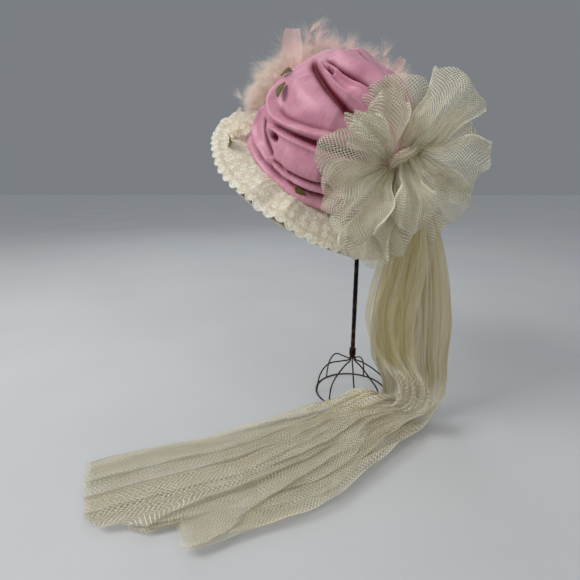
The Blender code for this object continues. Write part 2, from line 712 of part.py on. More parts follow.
def build_blossoms(root, *carriers):
    """Small cupped blossoms with five petals, settled on the lace."""
    sides = 20
    for number, (turn, out, height, radius) in enumerate(BLOSSOMS, 1):
        angle = radians(turn)
        centre = hat_point(out * sin(angle), out * cos(angle), height)
        facing = (HAT_UP * 0.8 + (HAT_RIGHT * sin(angle) + HAT_FRONT * cos(angle)) * 0.6).normalized()
        across = facing.cross(HAT_FRONT).normalized()
        over = facing.cross(across)
        upper, lower = [], []
        for share in (0.16, 0.6, 1.0):
            ring = []
            for side in range(sides):
                around = 2 * pi * side / sides
                petal = radius * share * (1 - 0.22 * share * (0.5 + 0.5 * cos(5 * around)))
                ring.append(centre + (across * cos(around) + over * sin(around)) * petal
                            + facing * (radius * 0.45 * share**2))
            upper.append(ring)
            lower.append([point - facing * 0.0012 for point in ring])
        points = [p for row in upper + lower for p in row]
        faces = wall_faces(3, sides, True, 0, 3 * sides)[:-2 * sides]
        rim = [(2 * sides + i, 2 * sides + (i + 1) % sides) for i in range(sides)]
        faces += [(a, b, b + 3 * sides, a + 3 * sides)[::1] for a, b in rim]
        faces += [tuple(reversed(range(sides))), tuple(range(3 * sides, 4 * sides))]
        settle(add_piece(f"blossom_{number}", points, faces, "blossom", root), -HAT_UP, *carriers)


def build_leaves(root, *carriers):
    """Pointed leaves, folded along the midrib, settled on the lace or against the crown."""
    shares = (0.0, 0.3, 0.6, 1.0)
    widths = (0.10, 0.42, 0.36, 0.05)
    for number, (turn, out, height, length, lean, on_lace) in enumerate(LEAVES, 1):
        angle = radians(turn)
        centre = hat_point(out * sin(angle), out * cos(angle), height)
        outward = HAT_RIGHT * sin(angle) + HAT_FRONT * cos(angle)
        forward = Matrix.Rotation(radians(lean), 3, outward) @ HAT_UP.cross(outward)
        across = forward.cross(outward)
        upper, lower = [], []
        for share, width in zip(shares, widths):
            row = []
            for side in (-1, 0, 1):
                row.append(centre + forward * length * (share - 0.5) + across * (width * length * side)
                           + outward * (0.0016 * (abs(side) + share)))
            upper.append(row)
            lower.append([point - outward * 0.0010 for point in row])
        leaf = add_wall(f"leaf_{number}", upper, lower, "leaf", root, wrap=False)
        settle(leaf, -HAT_UP if on_lace else -outward, *carriers)


def centre_on_floor(root):
    """Shift the whole model sideways so that the middle of its footprint is the origin."""
    bpy.context.view_layer.update()
    corners = [np.array(piece.matrix_world @ vertex.co) for piece in root.children for vertex in piece.data.vertices]
    low, high = np.min(corners, axis=0), np.max(corners, axis=0)
    root.location = (-(low[0] + high[0]) / 2, -(low[1] + high[1]) / 2, 0)


def main():
    """Build the hat and its stand."""
    clear_scene()
    root = bpy.data.objects.new("hat_and_stand", None)
    bpy.context.scene.collection.objects.link(root)
    crown = build_crown(root)
    build_brim(root)
    ruffle = build_ruffle(root)
    knot = knot_place(crown)
    build_bow(root, knot)
    build_train(root, knot)
    build_plumes(root, crown)
    build_blossoms(root, ruffle, crown)
    build_leaves(root, ruffle, crown)
    bpy.context.view_layer.update()
    top = seat_height(crown) - TOUCH
    build_stem(root, top)
    build_top(root, top)
    build_base(root)
    centre_on_floor(root)


main()
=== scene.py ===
"""Looks of a draped satin hat with a lace brim, feathers, tulle bow and long train, on a wire hat stand.

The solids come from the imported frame. Here every soft piece gets its cloth: satin folds in relief, gathered
lace, see-through net and down. The wires get their own twisted strands.
"""

from __future__ import annotations

import logging
from dataclasses import dataclass, field
from enum import Enum
from math import atan, cos, pi, radians, sin
from typing import Any, Iterable, Sequence

import bpy
import numpy as np
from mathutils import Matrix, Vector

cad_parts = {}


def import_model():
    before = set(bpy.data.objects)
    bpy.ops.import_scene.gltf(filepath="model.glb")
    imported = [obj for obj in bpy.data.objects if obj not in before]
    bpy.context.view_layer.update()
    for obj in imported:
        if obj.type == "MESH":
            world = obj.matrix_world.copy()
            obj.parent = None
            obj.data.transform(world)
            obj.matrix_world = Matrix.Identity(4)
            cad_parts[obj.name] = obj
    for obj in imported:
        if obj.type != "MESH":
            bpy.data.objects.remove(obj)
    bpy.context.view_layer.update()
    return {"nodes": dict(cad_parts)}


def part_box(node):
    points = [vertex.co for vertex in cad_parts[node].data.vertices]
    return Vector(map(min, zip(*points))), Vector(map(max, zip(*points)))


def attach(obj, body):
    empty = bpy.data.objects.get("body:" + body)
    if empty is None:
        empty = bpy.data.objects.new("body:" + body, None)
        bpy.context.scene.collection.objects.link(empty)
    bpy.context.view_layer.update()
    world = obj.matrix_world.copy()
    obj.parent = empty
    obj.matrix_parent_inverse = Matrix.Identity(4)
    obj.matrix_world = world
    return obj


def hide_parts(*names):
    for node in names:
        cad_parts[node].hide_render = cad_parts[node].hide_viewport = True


LOG = logging.getLogger("hat")
Array = np.ndarray

BODY = "root"
# Share of the rows that are narrower than the width a band is taken to be cut to
WIDEST_SHARE = 0.8
# A full turn, for shader waves
TURN = 6.2832
# Sine of 45 degrees, for diamond nets
SLANT = 0.7071
# Inside the crown, in the hat's frame
CROWN_MIDDLE = np.array([0, 0, 0.03])
# Gap between pieces that touch
TOUCH = 0.0004
# Towards the viewer, in the row frame
NEAR = np.array([0.0, -1.0, 0.0])


# Shapes


def smooth(value: Array | float) -> Array:
    """Ease from 0 to 1 with flat ends."""
    held = np.clip(value, 0.0, 1.0)
    return held * held * (3 - 2 * held)


def unit(vector: Array) -> Array:
    """Vectors at length 1, along the last axis."""
    return vector / np.maximum(np.linalg.norm(vector, axis=-1, keepdims=True), 1e-12)


def curve_through(rows: Sequence[Sequence[float]], count: int) -> Array:
    """Points on a smooth curve through the rows of a table.

    Args:
        rows: The table, one place a row, with any number of columns.
        count: How many points to take, from the first row to the last.

    Returns:
        The points, one a row, with the table's columns.
    """
    table = np.array(rows, float)
    last = len(table) - 1
    place = np.linspace(0, last, count)
    span = np.minimum(place.astype(int), last - 1)
    t = (place - span)[:, None]
    before, after = table[np.maximum(span - 1, 0)], table[np.minimum(span + 2, last)]
    start, end = table[span], table[span + 1]
    return (
        start
        + 0.5 * t * (end - before)
        + t**2 * (before - 2.5 * start + 2 * end - 0.5 * after)
        + t**3 * (1.5 * (start - end) + 0.5 * (after - before))
    )


def wander(place: Array, seed: int, waves: Sequence[tuple[float, float]]) -> Array:
    """Uneven but repeatable waves, for cloth that is never regular.

    Args:
        place: Where along the cloth, in turns of the first wave.
        seed: Which of the wave patterns.
        waves: Each wave's count and height.

    Returns:
        The sum of the waves.
    """
    rng = np.random.default_rng(seed)
    total = np.zeros_like(np.asarray(place, float))
    for count, height in waves:
        total = total + height * np.sin(2 * pi * (count * place + rng.random()))
    return total


def round_grid(sides: int, rows: Array) -> tuple[Array, Array]:
    """Grid of angles once round, in radians, and of the given rows."""
    turns, heights = np.meshgrid(np.linspace(0, 2 * pi, sides, endpoint=False), rows)
    return turns, heights


def strip_grid(low: float, high: float, rows: int, columns: int) -> tuple[Array, Array]:
    """Grid of rows from low to high, and of columns from -1 to 1."""
    share, side = np.meshgrid(np.linspace(low, high, rows), np.linspace(-1, 1, columns), indexing="ij")
    return share, side


def about(radius: Array | float, angle: Array, height: Array | float) -> Array:
    """Points about an upright line, by distance, angle in radians and height."""
    return np.stack(
        np.broadcast_arrays(radius * np.cos(angle), radius * np.sin(angle), height), axis=-1
    )


def lay_out(start: Array, *ways: tuple[Array, Array]) -> Array:
    """Points reached from a start.

    Args:
        start: Where to begin, one point or one a row.
        ways: Each direction, and the grid of how far to go along it.

    Returns:
        The grid of points.
    """
    points = start
    for way, size in ways:
        points = points + way * size[..., None]
    return points


@dataclass(frozen=True)
class HatPose:
    """Where the leaning hat stands: the middle of the crown's base and the hat's own directions."""

    shift: Array
    base: Array = field(default_factory=lambda: np.array([-0.044, 0.014, 0.309]))
    up_lean: tuple[float, float, float] = (0.39, -0.48, 0.785)
    front_hint: tuple[float, float, float] = (-0.796, 0.253, 0.550)

    @property
    def axes(self) -> Array:
        """The hat's right, front and up directions, one a row."""
        up = unit(np.array(self.up_lean))
        right = unit(np.cross(np.array(self.front_hint), up))
        return np.array([right, np.cross(up, right), up])

    def place(self, local: Array) -> Array:
        """Points of the hat's own frame, in the row frame."""
        return local @ self.axes + self.base + self.shift

    def stand(self, points: Array) -> Array:
        """Points measured from the stem's foot, in the row frame."""
        return np.asarray(points, float) + self.shift


@dataclass
class Cloth:
    """A grid of points with its cloth coordinates in metres, ready to become a mesh."""

    points: Array
    weave: Array
    wrap: bool = False
    dense: Array | None = None
    # How much painted shade the finish lays on each point, from 0 to 1
    hollow: Array | None = None

    def faces(self) -> Array:
        """Quads of the grid, one a row."""
        rows, columns = self.points.shape[:2]
        steps = columns if self.wrap else columns - 1
        row, column = np.meshgrid(np.arange(rows - 1), np.arange(steps), indexing="ij")
        here, above, after = row * columns, (row + 1) * columns, (column + 1) % columns
        quads = [here + column, here + after, above + after, above + column]
        return np.stack(quads, axis=-1).reshape(-1, 4)

    def area(self) -> float:
        """Area of the cloth in square metres."""
        flat = self.points.reshape(-1, 3)[self.faces()]
        one = np.cross(flat[:, 1] - flat[:, 0], flat[:, 2] - flat[:, 0])
        two = np.cross(flat[:, 2] - flat[:, 0], flat[:, 3] - flat[:, 0])
        return float(np.linalg.norm(one, axis=1).sum() + np.linalg.norm(two, axis=1).sum()) / 2

    def length(self) -> float:
        """Middle length along the rows, in metres."""
        steps = np.linalg.norm(np.diff(self.points, axis=0), axis=2)
        return float(steps.sum(axis=0).mean())

    def cut(self) -> tuple[float, float]:
        """Width and length of the flat piece this cloth is made from."""
        long = self.length()
        return round(self.area() / long, 4), round(long, 4)


def mesh_piece(
    name: str, points: Array, faces: Iterable[Sequence[int]], weave: Array | None = None
) -> bpy.types.Object:
    """Make a smooth mesh object.

    Args:
        name: The piece's name.
        points: One point a row, in the row frame.
        faces: Corner numbers of each face.
        weave: Cloth coordinates of each point, in metres, where the finish needs them.

    Returns:
        The new object, linked to the scene.
    """
    mesh = bpy.data.meshes.new(name)
    mesh.from_pydata(points.reshape(-1, 3).tolist(), [], [list(map(int, face)) for face in faces])
    if weave is not None:
        layer = mesh.uv_layers.new(name="weave")
        corner = np.empty(len(mesh.loops), np.int64)
        mesh.loops.foreach_get("vertex_index", corner)
        layer.data.foreach_set("uv", weave.reshape(-1, 2)[corner].ravel())
    mesh.shade_smooth()
    mesh.update()
    piece = bpy.data.objects.new(name, mesh)
    bpy.context.scene.collection.objects.link(piece)
    return piece


def arc_weave(points: Array) -> Array:
    """Cloth coordinates of a band that is gathered at its start, from its own lengths.

    Args:
        points: Grid of points, rows along the band.

    Returns:
        Coordinates across and along, in metres.
    """
    run = np.linalg.norm(np.diff(points, axis=0), axis=2)
    along = np.concatenate([[0], np.cumsum(np.median(run, axis=1))])
    steps = np.linalg.norm(np.diff(points, axis=1), axis=2)
    widest = np.quantile(steps, WIDEST_SHARE, axis=0)
    across = np.concatenate([[0], np.cumsum(widest)])
    return np.stack(np.broadcast_arrays(across[None, :], along[:, None]), axis=-1)


def crowding(points: Array, weave: Array) -> Array:
    """How much closer than flat the threads lie, from 0 where open to 1 where bunched."""
    shown = np.linalg.norm(np.gradient(points, axis=1), axis=2)
    flat = np.abs(np.gradient(weave[..., 0], axis=1)) + 1e-9
    return np.clip(1 - shown / flat, 0, 1)


def cloth_piece(name: str, *cloths: Cloth) -> bpy.types.Object:
    """Make one mesh object from one or more cloths."""
    faces, start = [], 0
    for cloth in cloths:
        faces.append(cloth.faces() + start)
        start += cloth.points.shape[0] * cloth.points.shape[1]
    points = np.concatenate([cloth.points.reshape(-1, 3) for cloth in cloths])
    weave = np.concatenate([cloth.weave.reshape(-1, 2) for cloth in cloths])
    piece = mesh_piece(name, points, np.concatenate(faces).tolist(), weave)
    for channel in ("dense", "hollow"):
        values = [getattr(cloth, channel) for cloth in cloths]
        if all(value is not None for value in values):
            layer = piece.data.attributes.new(channel, "FLOAT", "POINT")
            flat = np.concatenate([value.ravel() for value in values])
            layer.data.foreach_set("value", flat.astype(np.float32))
    return piece


def tube_cloth(path: Array, radius: Array | float, sides: int = 8, closed: bool = False) -> Cloth:
    """Round skin along a path.

    Args:
        path: Points of the middle line, one a row.
        radius: Radius, or one for each point.
        sides: Faces round the tube.
        closed: Whether the path runs back into its start.

    Returns:
        The tube as a grid, open at its ends.
    """
    if closed:
        path = np.concatenate([path, path[:1]])
        radius = np.append(radius, radius[0]) if np.ndim(radius) else radius
    along = np.gradient(path, axis=0)
    if closed:
        along[0] = along[-1] = path[1] - path[-2]
    along = unit(along)
    across = np.empty_like(path)
    hint = np.array([0.0, 0.0, 1.0]) if abs(along[0][2]) < 0.9 else np.array([1.0, 0.0, 0.0])
    for index, way in enumerate(along):
        across[index] = unit(hint - way * hint.dot(way))
        hint = across[index]
    if closed:
        across[-1] = across[0]
    over = np.cross(along, across)
    angle = 2 * pi * np.arange(sides) / sides
    ring = across[:, None] * np.cos(angle)[None, :, None] + over[:, None] * np.sin(angle)[None, :, None]
    points = path[:, None] + ring * np.broadcast_to(np.asarray(radius, float), len(path))[:, None, None]
    run = np.concatenate([[0], np.cumsum(np.linalg.norm(np.diff(path, axis=0), axis=1))])
    girth = angle * float(np.mean(radius))
    weave = np.stack(np.broadcast_arrays(girth[None, :], run[:, None]), axis=-1)
    return Cloth(points, weave, wrap=True)


# Finishes


class Wire:
    """One output of a shader node, so that shader maths reads as an expression."""

    def __init__(self, bench: Bench, socket: bpy.types.NodeSocket) -> None:
        """Keep the bench that the node stands on, and the output."""
        self.bench = bench
        self.socket = socket

    def maths(self, operation: str, *others: Wire | float) -> Wire:
        """Result of a Math node whose first input is this wire."""
        return self.bench.maths(operation, self, *others)

    def __add__(self, other: Wire | float) -> Wire:
        """Sum."""
        return self.maths("ADD", other)

    __radd__ = __add__

    def __mul__(self, other: Wire | float) -> Wire:
        """Product."""
        return self.maths("MULTIPLY", other)

    __rmul__ = __mul__

    def __sub__(self, other: Wire | float) -> Wire:
        """Difference."""
        return self.maths("SUBTRACT", other)

    def __rsub__(self, other: float) -> Wire:
        """Difference from a number."""
        return self.bench.maths("SUBTRACT", other, self)

    def __truediv__(self, other: Wire | float) -> Wire:
        """Quotient."""
        return self.maths("DIVIDE", other)

    def __rtruediv__(self, other: float) -> Wire:
        """A number divided by this."""
        return self.bench.maths("DIVIDE", other, self)

    def __pow__(self, other: float) -> Wire:
        """Power."""
        return self.maths("POWER", other)

    def __rpow__(self, other: float) -> Wire:
        """A number to this power."""
        return self.bench.maths("POWER", other, self)

    def fract(self) -> Wire:
        """Part after the point."""
        return self.maths("FRACT")

    def absolute(self) -> Wire:
        """Size without sign."""
        return self.maths("ABSOLUTE")

    def wave(self) -> Wire:
        """Sine."""
        return self.maths("SINE")

    def most(self, other: Wire | float) -> Wire:
        """Larger of two."""
        return self.maths("MAXIMUM", other)

    def between(self, low: float, high: float, start: float = 0.0, end: float = 1.0) -> Wire:
        """Eased step from start to end as this goes from low to high."""
        return self.bench.node(
            "ShaderNodeMapRange",
            {"interpolation_type": "SMOOTHSTEP"},
            {"Value": self, "From Min": low, "From Max": high, "To Min": start, "To Max": end},
        )


class Bench:
    """Node tree of one material, with its Principled shader ready."""

    def __init__(self, name: str) -> None:
        """Make the material and find its shader."""
        self.material = bpy.data.materials.new(name)
        self.material.use_nodes = True
        self.tree = self.material.node_tree
        self.shader = self.tree.nodes["Principled BSDF"]

    def node(
        self,
        kind: str,
        settings: dict[str, Any] | None = None,
        inputs: dict[str | int, Any] | None = None,
        output: str | int = 0,
    ) -> Wire:
        """Add a node of any type.

        Args:
            kind: The node's type.
            settings: Its properties, such as a Math node's operation.
            inputs: Values or wires of its inputs, by name or number.
            output: Which output to give back.

        Returns:
            The chosen output.
        """
        made = self.tree.nodes.new(kind)
        for key, value in (settings or {}).items():
            setattr(made, key, value)
        for key, value in (inputs or {}).items():
            self.feed(made.inputs[key], value)
        return Wire(self, made.outputs[output])

    def feed(self, socket: bpy.types.NodeSocket, value: Any) -> None:
        """Give an input a wire, a colour or a number."""
        if isinstance(value, Wire):
            self.tree.links.new(value.socket, socket)
        elif isinstance(value, tuple) and len(value) == 3 and socket.type == "RGBA":
            socket.default_value = (*value, 1.0)
        else:
            socket.default_value = value

    def maths(self, operation: str, *values: Wire | float) -> Wire:
        """Result of a Math node on wires and numbers, in their order."""
        return self.node("ShaderNodeMath", {"operation": operation}, dict(enumerate(values)))

    def join(self, across: Wire, along: Wire) -> Wire:
        """Vector from cloth coordinates."""
        return self.node("ShaderNodeCombineXYZ", None, {"X": across, "Y": along})

    def part(self, vector: Wire, axis: str) -> Wire:
        """One number of a vector."""
        return self.node("ShaderNodeSeparateXYZ", None, {"Vector": vector}, axis)

    def mix(self, one: Any, two: Any, share: Wire | float) -> Wire:
        """Colour between two others, through the colour sockets of a Mix node."""
        return self.node("ShaderNodeMix", {"data_type": "RGBA"}, {0: share, 6: one, 7: two}, 2)

    def channel(self, name: str) -> Wire:
        """One of the mesh's own channels, such as how crowded the threads are."""
        return self.node("ShaderNodeAttribute", {"attribute_name": name}, None, "Fac")

    def weave(self) -> tuple[Wire, Wire]:
        """Cloth coordinates of the piece, in metres, across and along."""
        place = self.node("ShaderNodeUVMap", {"uv_map": "weave"})
        return self.part(place, "X"), self.part(place, "Y")

    def solid(self) -> Wire:
        """Place on the object, in metres."""
        return self.node("ShaderNodeTexCoord", None, None, "Object")

    def noise(
        self, size: float, detail: float = 3.0, place: Wire | None = None, rough: float = 0.5
    ) -> Wire:
        """Cloudy pattern from 0 to 1, with patches of about the given size in metres."""
        return self.node(
            "ShaderNodeTexNoise",
            None,
            {"Vector": place or self.solid(), "Scale": 1.0 / size, "Detail": detail, "Roughness": rough},
            "Fac",
        )

    def bump(self, height: Wire, distance: float, strength: float = 1.0) -> None:
        """Give the shader relief."""
        normal = self.node(
            "ShaderNodeBump", None, {"Strength": strength, "Distance": distance, "Height": height}, "Normal"
        )
        self.feed(self.shader.inputs["Normal"], normal)

    def finish(self, **sockets: Any) -> bpy.types.Material:
        """Feed the shader's sockets, named with _ for each blank, and give back the material."""
        for name, value in sockets.items():
            self.feed(self.shader.inputs[name.replace("_", " ")], value)
        return self.material


class Mesh(Enum):
    """How the threads of a net cross."""

    SQUARE = "square"
    DIAMOND = "diamond"


@dataclass(frozen=True)
class Net:
    """See-through net cloth. Its threads crowd by the mesh's dense channel, and its colour takes painted
    shade by the hollow channel.
    """

    name: str
    colour: tuple[float, float, float]
    shade: tuple[float, float, float]
    # Painted shade: the air between the threads is coloured dark, for the shade of what lies beneath
    gap_shade: tuple[float, float, float] = (0.34, 0.31, 0.19)
    cell: float = 0.0025
    thread: float = 0.18
    haze: float = 0.08
    mesh: Mesh = Mesh.SQUARE
    roughness: float = 0.55

    def make(self) -> bpy.types.Material:
        """Build the material: threads by the cloth's own coordinates, and air between them in a painted dark
        shade.
        """
        bench = Bench(self.name)
        across, along = bench.weave()
        if self.mesh is Mesh.DIAMOND:
            across, along = (across + along) * SLANT, (along - across) * SLANT
        dense, hollow = bench.channel("dense"), bench.channel("hollow")
        drift = bench.noise(0.03, 2.0)
        half = dense * 0.22 + self.thread / 2
        threads = []
        for line in (across, along):
            off = 0.5 - ((line / self.cell + drift * 0.8).fract() - 0.5).absolute()
            threads.append((half - off).between(-0.05, 0.05))
        cover = threads[0].most(threads[1]).most(dense.between(0.50, 1.0, 0.0, 0.9))
        cloud = bench.noise(0.016, 3.0).between(0.3, 0.7, 0.25, 0.0)
        # The shade colour comes in as painted shade where the hollow channel is high, and as random cloudy
        # tone
        tint = bench.mix(self.colour, self.shade, hollow.most(cloud))
        bench.bump(cover, 0.0003, 0.5)
        return bench.finish(
            # Between the threads the colour is the painted shade colour
            Base_Color=bench.mix(self.gap_shade, tint, cover.between(0.1, 0.8)),
            Roughness=self.roughness,
            Alpha=cover * (1 - self.haze) + self.haze,
            Sheen_Weight=0.30,
            Sheen_Roughness=0.5,
        )


@dataclass(frozen=True)
class Satin:
    """Smooth satin with a soft broad gloss, and painted shade where the mesh's hollow channel marks a valley.
    """

    name: str = "pink_satin"
    light: tuple[float, float, float] = (0.78, 0.385, 0.49)
    deep: tuple[float, float, float] = (0.56, 0.20, 0.295)
    # Painted shade colour that fills the fold valleys
    valley_shade: tuple[float, float, float] = (0.17, 0.006, 0.022)
    slub_width: float = 1 / 900
    slub_length: float = 1 / 90
    thread_across: float = 0.00035
    thread_along: float = 0.00042

    def make(self) -> bpy.types.Material:
        """Build the material: long floats of thread catch the light, with fine slubs, soft creases and
        painted shade in the fold valleys.
        """
        bench = Bench(self.name)
        across, along = bench.weave()
        slub = bench.noise(1.0, 2.0, bench.join(across / self.slub_width, along / self.slub_length))
        # Painted shade: how much each point takes the valley colour
        valley_shade = bench.channel("hollow")
        cloud = bench.noise(0.018, 4.0)
        weft = (across / self.thread_across * TURN).wave()
        warp = (along / self.thread_along * TURN).wave()
        threads = weft * 0.25 + warp * 0.25
        bench.bump(threads * 0.25 + slub * 0.5 + bench.noise(0.006, 3.0) * 2.0, 0.00016, 0.5)
        tint = bench.mix(self.deep, self.light, (cloud * 0.6 + slub * 0.4).between(0.2, 0.75))
        return bench.finish(
            Base_Color=bench.mix(tint, self.valley_shade, valley_shade),
            Roughness=slub.between(0.2, 0.8, 0.38, 0.48),
            Metallic=0.03,
            Sheen_Weight=0.18,
            Sheen_Roughness=0.35,
            Sheen_Tint=(1.0, 0.80, 0.88),
            Specular_IOR_Level=0.5,
        )


@dataclass(frozen=True)
class Lace:
    """Machine lace: five-petalled flowers and curling vines of thick thread on a fine net ground."""

    name: str = "ivory_lace"
    motif: tuple[float, float, float] = (0.97, 0.93, 0.80)
    ground: tuple[float, float, float] = (0.93, 0.85, 0.64)
    flower: float = 0.0115
    petals: int = 5
    net: float = 0.0011
    net_slant: float = 0.6

    def make(self) -> bpy.types.Material:
        """Build the material: petals by the angle about each flower, vines between, holes in the net."""
        bench = Bench(self.name)
        across, along = bench.weave()
        flat = bench.join(across, along)
        middle = bench.node(
            "ShaderNodeTexVoronoi",
            {"voronoi_dimensions": "2D"},
            {"Vector": flat, "Scale": 1.0 / self.flower, "Randomness": 0.7},
            "Position",
        )
        east = (across - bench.part(middle, "X")) / self.flower
        north = (along - bench.part(middle, "Y")) / self.flower
        away = (east * east + north * north) ** 0.5
        angle = bench.maths("ARCTAN2", north, east)
        reach = (angle * (self.petals / 2)).wave().absolute() * 0.16 + 0.20
        petals = (reach - away).between(-0.02, 0.03)
        hollow = (reach * 0.62 - away).between(-0.02, 0.03) * 0.55
        vine = (bench.noise(0.0075, 1.0, flat) - 0.5).absolute().between(0.012, 0.034, 1.0, 0.0)
        motif = (petals - hollow).most(vine)
        threads = [
            ((line / self.net).fract() - 0.5).absolute().between(0.20, 0.36)
            for line in (across + along * self.net_slant, along - across * self.net_slant)
        ]
        cover = motif.most(threads[0].most(threads[1]) * 0.8)
        bench.bump(motif + threads[0] * 0.2, 0.0005, 0.7)
        return bench.finish(
            Base_Color=bench.mix(self.ground, self.motif, motif.between(0.1, 0.8)),
            Roughness=0.7,
            Alpha=cover.between(0.0, 0.8, 0.38, 1.0),
            Sheen_Weight=0.3,
        )


@dataclass(frozen=True)
class PlainCloth:
    """Matt cloth or down in two close tints, with a faint painted glow where asked."""

    name: str
    colour: tuple[float, float, float]
    shade: tuple[float, float, float]
    patch: float = 0.012
    roughness: float = 0.8
    sheen: float = 0.4
    cover: float = 1.0
    # Strength of a painted glow in the cloth's own tint, standing in for light shining through it
    painted_glow: float = 0.0

    def make(self) -> bpy.types.Material:
        """Build the material: cloudy tint, a fine grain, soft fuzz and a faint painted glow in its own tint.
        """
        bench = Bench(self.name)
        cloud = bench.noise(self.patch, 3.0)
        grain = bench.noise(0.0006, 2.0)
        bench.bump(grain, 0.0002, 0.5)
        tint = bench.mix(self.shade, self.colour, (cloud * 0.75 + grain * 0.25).between(0.3, 0.7))
        return bench.finish(
            Base_Color=tint,
            Roughness=self.roughness,
            Sheen_Weight=self.sheen,
            Alpha=self.cover,
            # Painted glow: the cloth gives off its own tint, though it is no lamp
            Emission_Color=tint,
            Emission_Strength=self.painted_glow,
        )


@dataclass(frozen=True)
class GoldNet:
    """Stiff net of gold and cream thread over a cream lining."""

    name: str = "gold_net"
    thread_colour: tuple[float, float, float] = (0.80, 0.64, 0.32)
    lining: tuple[float, float, float] = (0.72, 0.60, 0.42)
    lining_light: tuple[float, float, float] = (0.84, 0.76, 0.60)
    cell: float = 0.0021

    def make(self) -> bpy.types.Material:
        """Build the material: raised threads that glint, over a matt ground."""
        bench = Bench(self.name)
        across, along = bench.weave()
        lines = [
            ((line / self.cell).fract() - 0.5).absolute().between(0.30, 0.44)
            for line in (across + along, along - across)
        ]
        cover = lines[0].most(lines[1])
        cloud = bench.noise(0.02, 3.0)
        bench.bump(cover, 0.0005, 0.9)
        ground = bench.mix(self.lining, self.lining_light, cloud.between(0.35, 0.65))
        return bench.finish(
            Base_Color=bench.mix(ground, self.thread_colour, cover * 0.8),
            Roughness=cover.between(0.0, 1.0, 0.75, 0.40),
            Metallic=cover * 0.25,
            Alpha=cover.between(0.0, 1.0, 0.55, 1.0),
        )


@dataclass(frozen=True)
class Cord:
    """Glossy cream piping with a fine twist."""

    name: str = "cream_cord"
    colour: tuple[float, float, float] = (0.80, 0.72, 0.52)
    # Painted shade colour for the grooves between the strands
    between: tuple[float, float, float] = (0.62, 0.50, 0.30)
    strand: float = 0.0012
    slant: float = 0.0018

    def make(self) -> bpy.types.Material:
        """Build the material: slanting strands in the cord's own colour, with painted shade in the grooves
        between them.
        """
        bench = Bench(self.name)
        across, along = bench.weave()
        strand = ((along / self.strand + across / self.slant) * TURN).wave() * 0.5 + 0.5
        bench.bump(strand, 0.0003, 0.7)
        return bench.finish(
            Base_Color=bench.mix(self.between, self.colour, strand.between(0.1, 0.6)),
            Roughness=0.32,
            Coat_Weight=0.3,
            Coat_Roughness=0.25,
        )


@dataclass(frozen=True)
class Iron:
    """Dark wire, browned with age and rubbed bright in places."""

    name: str = "browned_wire"
    dark: tuple[float, float, float] = (0.018, 0.013, 0.011)
    rust: tuple[float, float, float] = (0.13, 0.050, 0.022)

    def make(self) -> bpy.types.Material:
        """Build the material: rust in patches over dark metal."""
        bench = Bench(self.name)
        patches = bench.noise(0.012, 5.0, rough=0.65).between(0.47, 0.62)
        grain = bench.noise(0.0012, 4.0)
        bench.bump(patches * 0.6 + grain, 0.0002, 0.6)
        return bench.finish(
            Base_Color=bench.mix(self.dark, self.rust, patches * grain.between(0.3, 0.6)),
            Metallic=patches.between(0.0, 1.0, 0.85, 0.25),
            Roughness=patches.between(0.0, 1.0, 0.36, 0.78),
        )


@dataclass(frozen=True)
class PaleFloor:
    """Smooth pale floor."""

    name: str = "pale_floor"
    colour: tuple[float, float, float] = (0.66, 0.675, 0.69)
    light: tuple[float, float, float] = (0.69, 0.70, 0.71)

    def make(self) -> bpy.types.Material:
        """Build the material: nearly white, with faint cloudy marks."""
        bench = Bench(self.name)
        cloud = bench.noise(0.25, 4.0)
        return bench.finish(
            Base_Color=bench.mix(self.colour, self.light, cloud.between(0.35, 0.65)),
            Roughness=cloud.between(0.3, 0.7, 0.78, 0.86),
            Specular_IOR_Level=0.2,
        )


class Finishes:
    """Every finish of the hat and its stand, made once."""

    def __init__(self) -> None:
        """Make the materials."""
        self.satin = Satin().make()
        self.lining = PlainCloth("cream_lining", (0.70, 0.58, 0.46), (0.60, 0.48, 0.36), 0.03).make()
        self.tulle = Net(
            "ivory_tulle", (1.0, 0.96, 0.81), (0.58, 0.51, 0.28), cell=0.0024, mesh=Mesh.DIAMOND
        ).make()
        self.train_tulle = Net(
            "train_tulle", (0.97, 0.91, 0.74), (0.56, 0.46, 0.19), cell=0.0029, thread=0.20, haze=0.10,
            mesh=Mesh.DIAMOND,
        ).make()
        self.lace = Lace().make()
        self.peach_net = Net(
            "peach_net", (0.90, 0.76, 0.52), (0.80, 0.62, 0.38), gap_shade=(0.62, 0.48, 0.26), cell=0.0018,
            thread=0.30, haze=0.45,
        ).make()
        self.gold_net = GoldNet().make()
        self.cord = Cord().make()
        self.edging = PlainCloth("white_edging", (0.90, 0.88, 0.82), (0.80, 0.76, 0.68), 0.004).make()
        self.down = PlainCloth(
            "pink_down", (0.98, 0.87, 0.80), (0.96, 0.71, 0.63), 0.014, 0.9, 0.5, cover=0.6, painted_glow=0.06
        ).make()
        self.cream_down = PlainCloth(
            "cream_down", (0.93, 0.88, 0.79), (0.92, 0.78, 0.68), 0.014, 0.9, 0.4, cover=0.6, painted_glow=0.04
        ).make()
        self.petal = PlainCloth(
            "cream_petal", (1.0, 0.96, 0.86), (0.98, 0.88, 0.74), 0.006, painted_glow=0.04
        ).make()
        self.pink_petal = PlainCloth(
            "pink_petal", (1.0, 0.80, 0.75), (0.95, 0.70, 0.66), 0.008, cover=0.55
        ).make()
        self.leaf = PlainCloth(
            "olive_leaf", (0.17, 0.135, 0.010), (0.080, 0.068, 0.005), 0.004, 0.5, 0.0
        ).make()
        self.iron = Iron().make()
        self.floor = PaleFloor().make()


